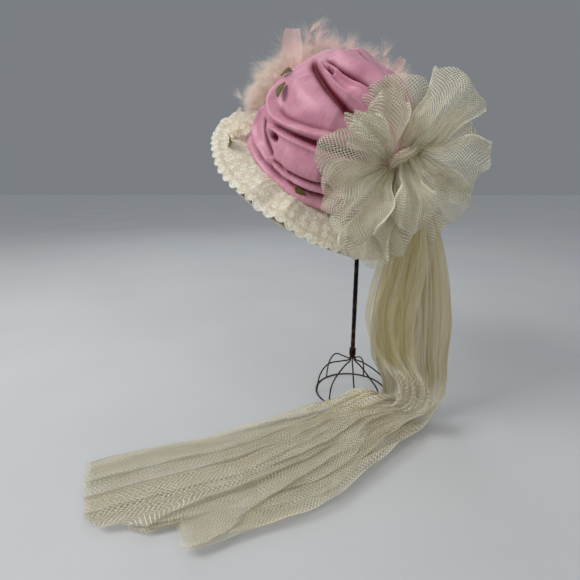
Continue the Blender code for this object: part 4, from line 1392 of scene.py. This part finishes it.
@dataclass
class Train:
    """The long train: layers of gathered net that hang, turn on the floor and fan out."""

    pose: HatPose
    rows: int = 220
    plain_columns: int = 30
    fold_columns: int = 35
    # Each place's middle from the stem's foot, half width, heading in degrees, and height of the pleats
    path: tuple[tuple[float, ...], ...] = (
        (0.015, -0.087, 0.298, 0.0090, 0, 0.0010),
        (0.042, -0.087, 0.262, 0.0180, 0, 0.0030),
        (0.049, -0.083, 0.210, 0.0310, 0, 0.0050),
        (0.052, -0.078, 0.145, 0.0410, 0, 0.0095),
        (0.056, -0.070, 0.090, 0.0420, 0, 0.0100),
        (0.068, -0.062, 0.048, 0.0370, -2, 0.0065),
        (0.064, -0.061, 0.020, 0.0360, -8, 0.0055),
        (0.042, -0.076, 0.013, 0.0370, -28, 0.0055),
        (0.008, -0.091, 0.012, 0.0440, -50, 0.0075),
        (-0.043, -0.114, 0.0110, 0.0600, -64, 0.0078),
        (-0.088, -0.144, 0.0102, 0.0670, -62, 0.0074),
        (-0.136, -0.171, 0.0094, 0.0680, -56, 0.0070),
        (-0.192, -0.191, 0.0084, 0.0720, -51, 0.0064),
        (-0.239, -0.209, 0.0074, 0.0790, -38, 0.0055),
    )
    swag_path: tuple[tuple[float, ...], ...] = (
        (0.015, -0.092, 0.298, 0.0080, 0, 0.0010),
        (0.036, -0.092, 0.262, 0.0160, 0, 0.0025),
        (0.031, -0.093, 0.205, 0.0280, 0, 0.0040),
        (0.023, -0.092, 0.150, 0.0300, 0, 0.0050),
        (0.029, -0.090, 0.110, 0.0250, 4, 0.0055),
        (0.041, -0.093, 0.084, 0.0190, 6, 0.0065),
        (0.054, -0.101, 0.062, 0.0180, 0, 0.0080),
        (0.050, -0.106, 0.040, 0.0200, -14, 0.0085),
        (0.022, -0.098, 0.028, 0.0290, -34, 0.0070),
        (-0.008, -0.104, 0.022, 0.0400, -52, 0.0060),
        (-0.048, -0.133, 0.015, 0.0450, -62, 0.0045),
        (-0.096, -0.156, 0.013, 0.0500, -60, 0.0040),
        (-0.140, -0.176, 0.010, 0.0480, -56, 0.0030),
    )
    # Where across, and how much further than the path's end the net was cut there, in metres
    cut_end: tuple[tuple[float, float], ...] = (
        (-1.10, -0.003), (-0.65, 0.018), (0.09, 0.0430), (0.38, 0.0400), (0.43, 0.0240), (0.64, 0.0130),
        (0.67, -0.0110), (1.07, 0.0040),
    )
    layers: tuple[TrainLayer, ...] = (
        TrainLayer("train_under", -0.0016, -1.10, 0.10, 1.4, 0.6, 3, 0.003),
        TrainLayer("train_main", 0.0, -1.04, 1.05, 4.0, 1.0, 7),
        TrainLayer("train_right", 0.0026, -0.25, 1.05, 2.0, 1.0, 23, 0.003),
        TrainLayer("train_swag", 0.0, -1.0, 1.0, 2.6, 0.9, 31, 0.0, True),
    )
    # Share of a pleat that is tucked under, and how its top rounds
    tucked: float = 0.13
    crest_round: float = 1.8
    # Shares of the length: where it stops hanging, where it bunches, and where the cut end starts
    floor_at: float = 0.34
    floor_blend: float = 0.14
    bunch: tuple[float, float, float] = (0.60, 0.11, 0.0022)
    swag_bunch: tuple[float, float, float] = (0.52, 0.06, 0.0042)
    end_at: float = 0.86
    # The heap at the turn: where along, how long, and its height in metres
    heap: tuple[float, float, float] = (0.565, 0.075, 0.024)
    crumple: float = 0.0008
    thickness: float = 0.0006
    settle: float = 0.002
    hem: float = 0.0012

    def pleat(self, phase: Array) -> tuple[Array, Array]:
        """Laid pleats that use up their cloth evenly.

        Args:
            phase: Place across the cloth, in pleats.

        Returns:
            How far each point lies aside of an even spread, in pleats, and its height from 0 to 1.
        """
        place = np.linspace(0, 1, 241)
        crest = 1 - self.tucked
        run = np.where(place < crest, place, 2 * crest - place) / (1 - 2 * self.tucked)
        rise = np.where(
            place < crest, (place / crest) ** self.crest_round, 1 - (place - crest) / self.tucked
        )
        bell = np.exp(-(np.linspace(-2.2, 2.2, 23) ** 2))
        rows = []
        for row in (run - place, rise):
            longer = np.concatenate([row[-12:-1], row, row[1:12]])
            round_row = np.convolve(longer, bell / bell.sum(), "valid")
            rows.append(np.interp(phase % 1.0, place, round_row))
        return rows[0], rows[1]

    def layer(self, layer: TrainLayer) -> Cloth:
        """Sheet of one layer, from the bow to its cut end."""
        table = curve_through(self.swag_path if layer.swag else self.path, self.rows)
        centre, half, heading, pleat = table[:, :3], table[:, 3:4], np.radians(table[:, 4]), table[:, 5:6]
        along = unit(np.gradient(centre, axis=0))
        side = np.stack([np.cos(heading), np.sin(heading), np.zeros_like(heading)], axis=-1)
        facing = -unit(np.cross(side, along))
        columns = self.plain_columns + round(self.fold_columns * layer.folds)
        share = np.linspace(layer.start, layer.end, columns)[None, :]
        place = np.linspace(0, 1, self.rows)[:, None]
        span = layer.end - layer.start
        hanging = 1 - smooth((place - self.floor_at) / self.floor_blend)
        drift = 0.38 * np.sin(place * 5.5 + layer.seed)
        drift = drift + 0.20 * np.sin(place * 11 + 2.6 * share + layer.seed)
        uneven = 0.30 * np.sin(share * 4.1 + layer.seed) + 0.10 * np.sin(share * 9.7 + layer.seed * 2)
        phase = layer.folds * (share - layer.start) / span + drift + uneven
        shift, rise = self.pleat(phase)
        rolled = layer.overlap * (0.80 + 0.20 * np.sin(share * 5 + place * 6 + layer.seed))
        rolled = rolled * (1 - 0.35 * hanging)
        aside = rolled * span / layer.folds * shift
        fold = (rise - 0.4) * (0.75 + 0.35 * np.sin(share * 6 + place * 9 + layer.seed))
        fold = fold * (1 - 0.45 * hanging) + 0.30 * hanging * np.sin(share * 5 + layer.seed)
        fine = wander(
            share * 2 + drift * 0.3, layer.seed + 4, ((3.7, 0.10), (6.1, 0.07), (11.3, 0.03))
        )
        lateral = 0.020 * wander(place * 2 + share * 0.4, layer.seed + 1, ((1.0, 1.0), (2.3, 0.5)))
        middle, reach, size = self.swag_bunch if layer.swag else self.bunch
        bunched = np.exp(-(((place - middle) / reach) ** 2))
        crumple = self.crumple * wander(place * 7 + share * 1.3, layer.seed + 2, ((1.0, 1.0), (2.1, 0.7)))
        crumple = crumple + size * bunched * wander(
            place * 4 + share * 2.2, layer.seed + 6, ((1.7, 1.0), (3.1, 0.8), (5.3, 0.5))
        )
        ends, aheads = np.array(self.cut_end).T
        seen = share + aside
        if layer.swag:
            cut = 0.006 * np.sin(seen * 9)
        else:
            cut = np.interp(seen, ends, aheads) - layer.short
        points = lay_out(
            centre[:, None],
            (side[:, None], half * (share + aside + lateral)),
            (facing[:, None], pleat * (fold + fine) + layer.lift * smooth(place * 6) + crumple),
            (along[:, None], smooth((place - self.end_at) / (1 - self.end_at)) * cut),
        )
        middle, reach, size = self.heap
        heap = np.exp(-(((place - middle) / reach) ** 2)) * smooth(0.4 - share)
        heap = heap * (0 if layer.swag else size)
        points[..., 2] += heap
        floor = self.thickness + 0.4 * (layer.lift + 0.0016) + 0.0008 * rise
        low = points[..., 2]
        held = floor + self.settle * np.exp(np.minimum(low - floor - self.settle, 0) / self.settle)
        points[..., 2] = np.where(low < floor + self.settle, held, low)
        weave = arc_weave(points)
        edge = np.minimum(share - layer.start, layer.end - share) * half / self.hem
        dense = crowding(points, weave) ** 2 * 0.5 + 0.25 * hanging + 22 * heap
        dense = np.maximum(dense, (1 - smooth(edge)) * 0.6)
        # Painted shade: darker where the net hangs and in the low, tucked part of each pleat, less where the
        # swag bunches
        hollow = (0.75 * hanging + 0.50 * smooth(1 - rise * 2.4)) * (1 - bunched * layer.swag)
        hollow = np.clip(hollow, 0, 1)
        return Cloth(self.pose.stand(points), weave, dense=dense, hollow=hollow)

    def build(self, finishes: Finishes) -> list[bpy.types.Object]:
        """Make every layer."""
        pieces = []
        for layer in self.layers:
            cloth = self.layer(layer)
            piece = cloth_piece(layer.name, cloth)
            nodes = ("train",) if layer.name == "train_main" else ()
            pieces.append(dress(piece, finishes.train_tulle, "tulle", *nodes))
            cloth.cut()
        return pieces


@dataclass(frozen=True)
class Plume:
    """One tuft of down: its shaft's line from the stem's foot, its barbs' reach, its node and tint."""

    line: tuple[tuple[float, float, float], ...]
    reach: float
    node: str
    cream: float = 0.0


PLUMES = (
    Plume(((-0.129, -0.012, 0.372), (-0.126, -0.015, 0.388), (-0.110, -0.017, 0.402)),
          0.012, "feather_1", 0.9),
    Plume(((-0.119, 0.022, 0.388), (-0.110, 0.016, 0.412), (-0.090, 0.006, 0.430)),
          0.018, "feather_2", 0.7),
    Plume(((-0.097, 0.058, 0.398), (-0.081, 0.045, 0.432), (-0.053, 0.022, 0.456)),
          0.027, "feather_3", 0.25),
    Plume(((-0.053, 0.074, 0.400), (-0.034, 0.060, 0.432), (-0.010, 0.027, 0.449)),
          0.027, "feather_4", 0.15),
    Plume(((-0.006, 0.075, 0.393), (0.010, 0.058, 0.416), (0.022, 0.025, 0.431)),
          0.024, "feather_5", 0.1),
    Plume(((0.033, 0.062, 0.377), (0.045, 0.045, 0.394), (0.043, 0.013, 0.407)),
          0.020, "feather_6", 0.0),
)


@dataclass(frozen=True)
class Petal:
    """One long pale petal among the down: its foot and tip from the stem's foot, and its width."""

    foot: tuple[float, float, float]
    tip: tuple[float, float, float]
    width: float


@dataclass
class FeatherTrim:
    """Marabou tufts along the crown's front, each of many soft barbs that hang together in locks."""

    pose: HatPose
    barbs: int = 6500
    locks: int = 90
    joints: int = 5
    barb_width: float = 0.000075
    barb_taper: tuple[float, float] = (1.15, 0.75)
    first_seed: int = 60
    line_points: int = 60
    # Scatter of the locks' feet and of the barbs' feet in metres, and of the barbs' ways in a lock
    lock_scatter: float = 0.0050
    barb_scatter: float = 0.0008
    splay: float = 0.30
    outward: float = 0.15
    droop: float = -0.25
    curl: float = 0.13
    petal_rows: int = 40
    petal_columns: int = 17
    petals: tuple[Petal, ...] = (
        Petal((-0.0865, 0.007, 0.413), (-0.0853, 0.002, 0.459), 0.023),
        Petal((0.030, 0.024, 0.408), (0.046, 0.018, 0.434), 0.012),
        Petal((0.018, 0.026, 0.412), (0.027, 0.020, 0.435), 0.010),
    )

    def tuft(self, number: int) -> tuple[Array, Array]:
        """Middle lines and half widths of the barbs of one tuft.

        Args:
            number: Which tuft.

        Returns:
            One line of points for each barb, and the way to its edge at each point.
        """
        rng = np.random.default_rng(self.first_seed + number)
        plume = PLUMES[number]
        lines = [curve_through(row.line, self.line_points) for row in PLUMES]
        lock = rng.integers(0, self.locks, self.barbs)
        pick = rng.random(self.locks)[lock] * 0.94 + 0.06 * rng.random(self.barbs)
        toward = rng.choice([max(number - 1, 0), min(number + 1, len(lines) - 1)], self.locks)[lock]
        part = (rng.random(self.locks) ** 1.3 * 0.55)[lock]
        last = self.line_points - 1
        index = np.minimum((pick * last).astype(int), last)
        near = lines[number][index]
        foot = near * (1 - part)[:, None] + np.stack(lines)[toward, index] * part[:, None]
        foot = foot + rng.normal(size=(self.locks, 3))[lock] * self.lock_scatter
        foot = foot + rng.normal(size=(self.barbs, 3)) * self.barb_scatter
        middle = self.pose.base + self.pose.axes[2] * 0.05
        outward = unit(foot - middle)
        lock_way = rng.normal(size=(self.locks, 3))[lock] + 0.9 * outward
        way = unit(unit(lock_way) + self.splay * rng.normal(size=(self.barbs, 3)))
        way = unit(way + outward * np.maximum(self.outward - (way * outward).sum(axis=1), 0)[:, None])
        long = rng.random(self.locks)[lock] * 0.5 + rng.random(self.barbs) * 0.5
        length = plume.reach * (0.45 + 0.95 * long) * (0.80 + 0.35 * np.sin(pi * pick))
        bend = unit(rng.normal(size=(self.locks, 3)))[lock] * 0.5 + np.array([0, 0, self.droop])
        curl = unit(rng.normal(size=(self.barbs, 3)))
        step = np.linspace(0, 1, self.joints)[None, :, None]
        size = length[:, None, None]
        line = foot[:, None] + way[:, None] * size * step + bend[:, None] * size * 0.55 * step**2
        line = line + curl[:, None] * size * self.curl * np.sin(step * 6)
        across = unit(np.cross(way, unit(rng.normal(size=(self.barbs, 3)))))
        wide, taper = self.barb_taper
        return line, across[:, None] * self.barb_width * (wide - taper * step)

    def petal(self, petal: Petal) -> Cloth:
        """One cupped petal with a crease down its middle."""
        foot, tip = np.array(petal.foot), np.array(petal.tip)
        length = float(np.linalg.norm(tip - foot))
        forward = unit(tip - foot)
        across = unit(np.cross(forward, NEAR))
        over = np.cross(forward, across)
        share, side = strip_grid(0, 1, self.petal_rows, self.petal_columns)
        width = petal.width / 2 * np.clip(np.sin(pi * share**0.9 * 0.86 + 0.22), 0, 1) ** 0.25
        cup = 0.18 * petal.width * side**2 + 0.0015 * np.sin(share * 8)
        cup = cup + 0.0004 * np.sin(side * 9 + share * 5)
        points = lay_out(
            foot, (forward, length * share), (across, width * side), (-over, cup + 0.004 * share**2)
        )
        return Cloth(self.pose.stand(points), np.stack([side * petal.width / 2, share * length], axis=-1))

    def build(self, finishes: Finishes) -> list[bpy.types.Object]:
        """Make every tuft, and the petals between them."""
        pieces = []
        for number, plume in enumerate(PLUMES):
            line, width = self.tuft(number)
            pairs = self.pose.stand(np.stack([line - width, line + width], axis=2))
            count, joints = pairs.shape[:2]
            base = (np.arange(count)[:, None] * joints + np.arange(joints - 1)[None, :]).reshape(-1) * 2
            faces = np.stack([base, base + 1, base + 3, base + 2], axis=-1)
            piece = mesh_piece(f"down_tuft_{number + 1}", pairs, faces.tolist())
            finish = finishes.cream_down if plume.cream > 0.6 else finishes.down
            pieces.append(dress(piece, finish, "feather", plume.node))
        for number, petal in enumerate(self.petals, 1):
            piece = cloth_piece(f"long_petal_{number}", self.petal(petal))
            pieces.append(dress(piece, finishes.pink_petal, "blossom"))
        return pieces


@dataclass(frozen=True)
class Blossom:
    """A small cloth flower: which node it stands for, its radius and its petals."""

    node: str
    radius: float
    petals: int = 5


@dataclass
class Garland:
    """Cloth blossoms and leaves at the crown's front edge."""

    pose: HatPose
    blossoms: tuple[Blossom, ...] = (Blossom("blossom_1", 0.0115), Blossom("blossom_2", 0.0082))
    # Each whorl's size and how much it cups, as shares of the radius
    whorls: tuple[tuple[float, float], ...] = ((1.0, 0.30), (0.74, 0.55), (0.45, 0.9))
    flower_sides: int = 90
    flower_rows: int = 12
    # How far each leaf stands off its node, in metres
    leaf_lifts: tuple[float, ...] = (0.0025, 0.0025, 0.0025, 0.0070)
    leaf_swing: float = 1.9
    leaf_width: float = 0.34
    leaf_rows: int = 40
    leaf_columns: int = 15

    def middle(self, node: str) -> Array:
        """Middle of a node's box."""
        low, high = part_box(node)
        return (np.array(low) + np.array(high)) / 2

    def flower(self, blossom: Blossom) -> tuple[Cloth, ...]:
        """Three whorls of cupped petals."""
        centre = self.middle(blossom.node)
        _, front, up = self.pose.axes
        outward = unit(centre - self.pose.place(CROWN_MIDDLE))
        facing = unit(up * 0.6 + outward * 0.5 - np.array([0, 0.5, 0]))
        across = unit(np.cross(facing, front))
        over = np.cross(facing, across)
        whorls = []
        for whorl, (size, cup) in enumerate(self.whorls):
            turns, outs = round_grid(self.flower_sides, np.linspace(0.03, 1, self.flower_rows))
            petal = np.abs(np.cos(turns * blossom.petals / 2 + whorl)) ** 0.55
            reach = blossom.radius * size * outs * (0.55 + 0.45 * petal)
            ruffle = 0.10 * outs * np.sin(turns * 11 + whorl)
            lift = blossom.radius * (cup * outs**2 * size + 0.14 * whorl + ruffle)
            points = lay_out(
                centre,
                (across, reach * np.cos(turns)),
                (over, reach * np.sin(turns)),
                (facing, lift + 0.20 * blossom.radius),
            )
            whorls.append(Cloth(points, np.stack([turns * 0.01, outs * 0.01], axis=-1), wrap=True))
        return tuple(whorls)

    def leaf(self, node: str, seed: int) -> Cloth:
        """A toothed leaf folded along its rib, in the box of its node."""
        low, high = (np.array(corner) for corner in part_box(node))
        centre, size = (low + high) / 2, float(np.linalg.norm(high - low))
        outward = unit(centre - self.pose.place(CROWN_MIDDLE))
        centre = centre + self.leaf_lifts[seed - 1] * outward
        swing = seed * self.leaf_swing
        across = unit(np.cross(outward, self.pose.axes[2]))
        forward = unit(np.cross(across, outward) * cos(swing) + across * sin(swing))
        across = np.cross(outward, forward)
        share, side = strip_grid(-0.5, 0.5, self.leaf_rows, self.leaf_columns)
        width = self.leaf_width * size * np.clip(np.cos(share * pi), 0, 1) ** 0.8
        width = width * (1 + 0.10 * np.sin(share * 60))
        fold = 0.10 * size * np.abs(side) + 0.05 * size * np.cos(share * 5)
        fold = fold + 0.0003 * np.sin(share * 40 + side * 3)
        points = lay_out(centre, (forward, share * size), (across, width * side), (outward, fold))
        return Cloth(points, np.stack([side * 0.004, share * size], axis=-1))

    def build(self, finishes: Finishes) -> list[bpy.types.Object]:
        """Make the blossoms and the leaves."""
        pieces = []
        for number, blossom in enumerate(self.blossoms, 1):
            piece = cloth_piece(f"cloth_flower_{number}", *self.flower(blossom))
            pieces.append(dress(piece, finishes.petal, "blossom", blossom.node))
        for number in range(1, len(self.leaf_lifts) + 1):
            node = f"leaf_{number}"
            piece = cloth_piece(f"cloth_leaf_{number}", self.leaf(node, number))
            pieces.append(dress(piece, finishes.leaf, "leaf", node))
        return pieces


# The stand


@dataclass
class Stand:
    """Twisted wire stem, its binding, and the bent wires of the foot."""

    pose: HatPose
    strands: int = 6
    strand_radius: float = 0.00115
    bundle_radius: float = 0.00215
    pitch: float = 0.075
    wire: float = 0.0010
    core: float = 0.0014
    stem_points: int = 220
    # The wound wire: its turns, radius in metres, distance from the stem's middle, and points
    winds: int = 7
    wound_wire: float = 0.00085
    wound_radius: float = 0.0037
    wound_points: int = 260
    ring_radius: float = 0.0500
    foot: float = 0.0530
    leg_points: int = 48
    ring_points: int = 120
    # Each leg's heading in degrees, and how far it rises
    legs: tuple[tuple[float, float], ...] = (
        (186, 0.000), (225, -0.010), (128, 0.002), (266, -0.020), (312, -0.016), (354, -0.012),
        (60, -0.006),
    )

    def stem(self) -> list[Cloth]:
        """Strands wound round a core, from the foot to the top."""
        low, high = (float(corner[2]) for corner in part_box("stem"))
        height = np.linspace(low, high, self.stem_points)
        cloths = [tube_cloth(self.pose.stand(about(0.0, 0 * height, height)), self.core, 8)]
        grow = 0.88 + 0.12 * (height - low) / (high - low)
        for strand in range(self.strands):
            angle = 2 * pi * (strand / self.strands + height / self.pitch)
            wobble = 1 + 0.05 * np.sin(height * 90 + strand * 2)
            line = about(self.bundle_radius * grow * wobble, angle, height)
            cloths.append(tube_cloth(self.pose.stand(line), self.strand_radius * grow, 8))
        return cloths

    def binding(self) -> Cloth:
        """Fine wire wound round the stem's foot, closed up on itself."""
        low, high = (float(corner[2]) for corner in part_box("stem_binding"))
        wound = np.linspace(0, 1, self.wound_points)
        turns = wound * 2 * pi * self.winds
        radius = self.wound_radius + 0.0001 * np.sin(turns * 0.5)
        height = low + 0.0008 + (high - low - 0.0016) * wound
        return tube_cloth(self.pose.stand(about(radius, turns, height)), self.wound_wire, 8)

    def leg(self, heading: float, rise: float, seed: int) -> Cloth:
        """One bent leg from the stem to the ring, with the small kinks of hand-bent wire."""
        rows = (
            (0.0031, self.foot + 0.002),
            (0.0050, self.foot - 0.0035),
            (0.0160, self.foot - 0.0050 + rise * 0.25),
            (0.0340, self.foot - 0.0090 + rise * 0.9),
            (0.0455, 0.0270 + rise * 0.5),
            (self.ring_radius, 0.0018),
        )
        out, up = curve_through(rows, self.leg_points).T
        angle = radians(heading) + 0.03 * np.sin(np.linspace(0, 5, self.leg_points) + seed)
        return tube_cloth(self.pose.stand(about(out, angle, up)), self.wire, 10)

    def ring(self, radius: float, height: float) -> Cloth:
        """One level wire ring."""
        angle = np.linspace(0, 2 * pi, self.ring_points, endpoint=False)
        line = about(radius, angle, height)
        return tube_cloth(self.pose.stand(line), self.wire, 10, closed=True)

    def build(self, finishes: Finishes) -> list[bpy.types.Object]:
        """Make the stem, binding, foot ring and legs."""
        wires = [
            ("twisted_stem", "stem", self.stem()),
            ("wound_binding", "stem_binding", [self.binding()]),
            ("foot_ring", "base_ring", [self.ring(self.ring_radius, self.wire)]),
        ]
        for number, (heading, rise) in enumerate(self.legs, 1):
            wires.append((f"foot_leg_{number}", f"base_leg_{number}", [self.leg(heading, rise, number)]))
        return [
            dress(cloth_piece(name, *cloths), finishes.iron, "iron_wire", node)
            for name, node, cloths in wires
        ]


@dataclass(frozen=True)
class Lamp:
    """A soft square lamp: its place from the stem's foot, its side in metres, power in watts and colour."""

    name: str
    place: tuple[float, float, float]
    size: float
    power: float
    colour: tuple[float, float, float]


@dataclass
class Studio:
    """Floor, light and camera of the photograph's view."""

    pose: HatPose
    lamps: tuple[Lamp, ...] = (
        Lamp("window", (-1.15, -0.45, 1.28), 0.7, 12.2, (1.0, 0.99, 0.97)),
        Lamp("fill", (0.6, -1.4, 0.6), 1.2, 4.6, (1.0, 0.97, 0.92)),
        Lamp("back", (-0.4, 1.2, 1.2), 1.0, 3.0, (0.95, 0.98, 1.0)),
    )
    lit: tuple[float, float, float] = (0.0, -0.05, 0.22)
    # The broad light from above: strength and spread in degrees, then the sky's colour and strength
    above: tuple[float, float] = (0.42, 100.0)
    above_colour: tuple[float, float, float] = (0.97, 0.99, 1.0)
    sky: tuple[float, float, float] = (0.60, 0.64, 0.68)
    sky_strength: float = 0.33
    floor_half: float = 6.0
    see_through: int = 40
    sensor: float = 36.0
    eye: tuple[float, float, float] = (-0.088, -0.517, 0.300)
    pitch: float = 16.0
    focal_pixels: float = 400.0
    frame_pixels: int = 580

    def camera(self) -> bpy.types.Object:
        """Camera at the photograph's place and angle."""
        data = bpy.data.cameras.new("camera")
        data.sensor_width = self.sensor
        data.lens = self.sensor * self.focal_pixels / self.frame_pixels
        data.clip_start, data.clip_end = 0.01, 50.0
        camera = bpy.data.objects.new("camera", data)
        camera.location = self.pose.stand(self.eye)
        camera.rotation_euler = (radians(90 - self.pitch), 0, 0)
        bpy.context.scene.collection.objects.link(camera)
        bpy.context.scene.camera = camera
        return camera

    def hang(self, lamp: Lamp) -> None:
        """Hang a soft square lamp so that it faces the hat."""
        data = bpy.data.lights.new(lamp.name, "AREA")
        data.shape, data.size, data.energy, data.color = "SQUARE", lamp.size, lamp.power, lamp.colour
        hung = bpy.data.objects.new(lamp.name, data)
        hung.location = self.pose.stand(lamp.place)
        way = np.array(hung.location) - self.pose.stand(self.lit)
        flat = float(np.hypot(way[0], way[1]))
        tilt = pi / 2 - atan(way[2] / max(flat, 1e-6))
        hung.rotation_euler = (tilt, 0, pi / 2 + float(np.arctan2(way[1], way[0])))
        bpy.context.scene.collection.objects.link(hung)

    def build(self, finishes: Finishes) -> None:
        """Lay the floor and set lamps, sky and camera."""
        half = self.floor_half
        corners = np.array([(-half, -half, 0), (half, -half, 0), (half, half, 0), (-half, half, 0)], float)
        floor = mesh_piece("floor", corners, [(0, 1, 2, 3)])
        floor.data.materials.append(finishes.floor)
        for lamp in self.lamps:
            self.hang(lamp)
        above = bpy.data.lights.new("above", "SUN")
        above.energy, above.angle, above.color = self.above[0], radians(self.above[1]), self.above_colour
        bpy.context.scene.collection.objects.link(bpy.data.objects.new("above", above))
        world = bpy.data.worlds.new("studio")
        world.use_nodes = True
        sky = world.node_tree.nodes["Background"]
        sky.inputs["Color"].default_value = (*self.sky, 1.0)
        sky.inputs["Strength"].default_value = self.sky_strength
        bpy.context.scene.world = world
        bpy.context.scene.view_settings.view_transform = "Standard"
        bpy.context.scene.cycles.transparent_max_bounces = self.see_through
        self.camera()


def main() -> None:
    """Build the hat and its stand, piece by piece."""
    logging.basicConfig(level=logging.INFO, format="%(name)s %(message)s")
    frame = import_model()
    low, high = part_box("stem")
    shift = np.array([(low[0] + high[0]) / 2, (low[1] + high[1]) / 2, 0.0])
    pose = HatPose(shift)
    finishes = Finishes()
    # Wires inside the crown keep their solids and are carried over, so every node turns to iron first
    for node in frame["nodes"].values():
        for slot in node.material_slots:
            slot.material = finishes.iron
    Studio(pose).build(finishes)
    crown = Crown(pose)
    for part in (crown, Brim(crown), Bow(pose), Train(pose), FeatherTrim(pose), Garland(pose), Stand(pose)):
        pieces = part.build(finishes)
        LOG.info("%s: %d pieces", type(part).__name__, len(pieces))
    bpy.context.view_layer.update()


if __name__ == "__main__":
    main()
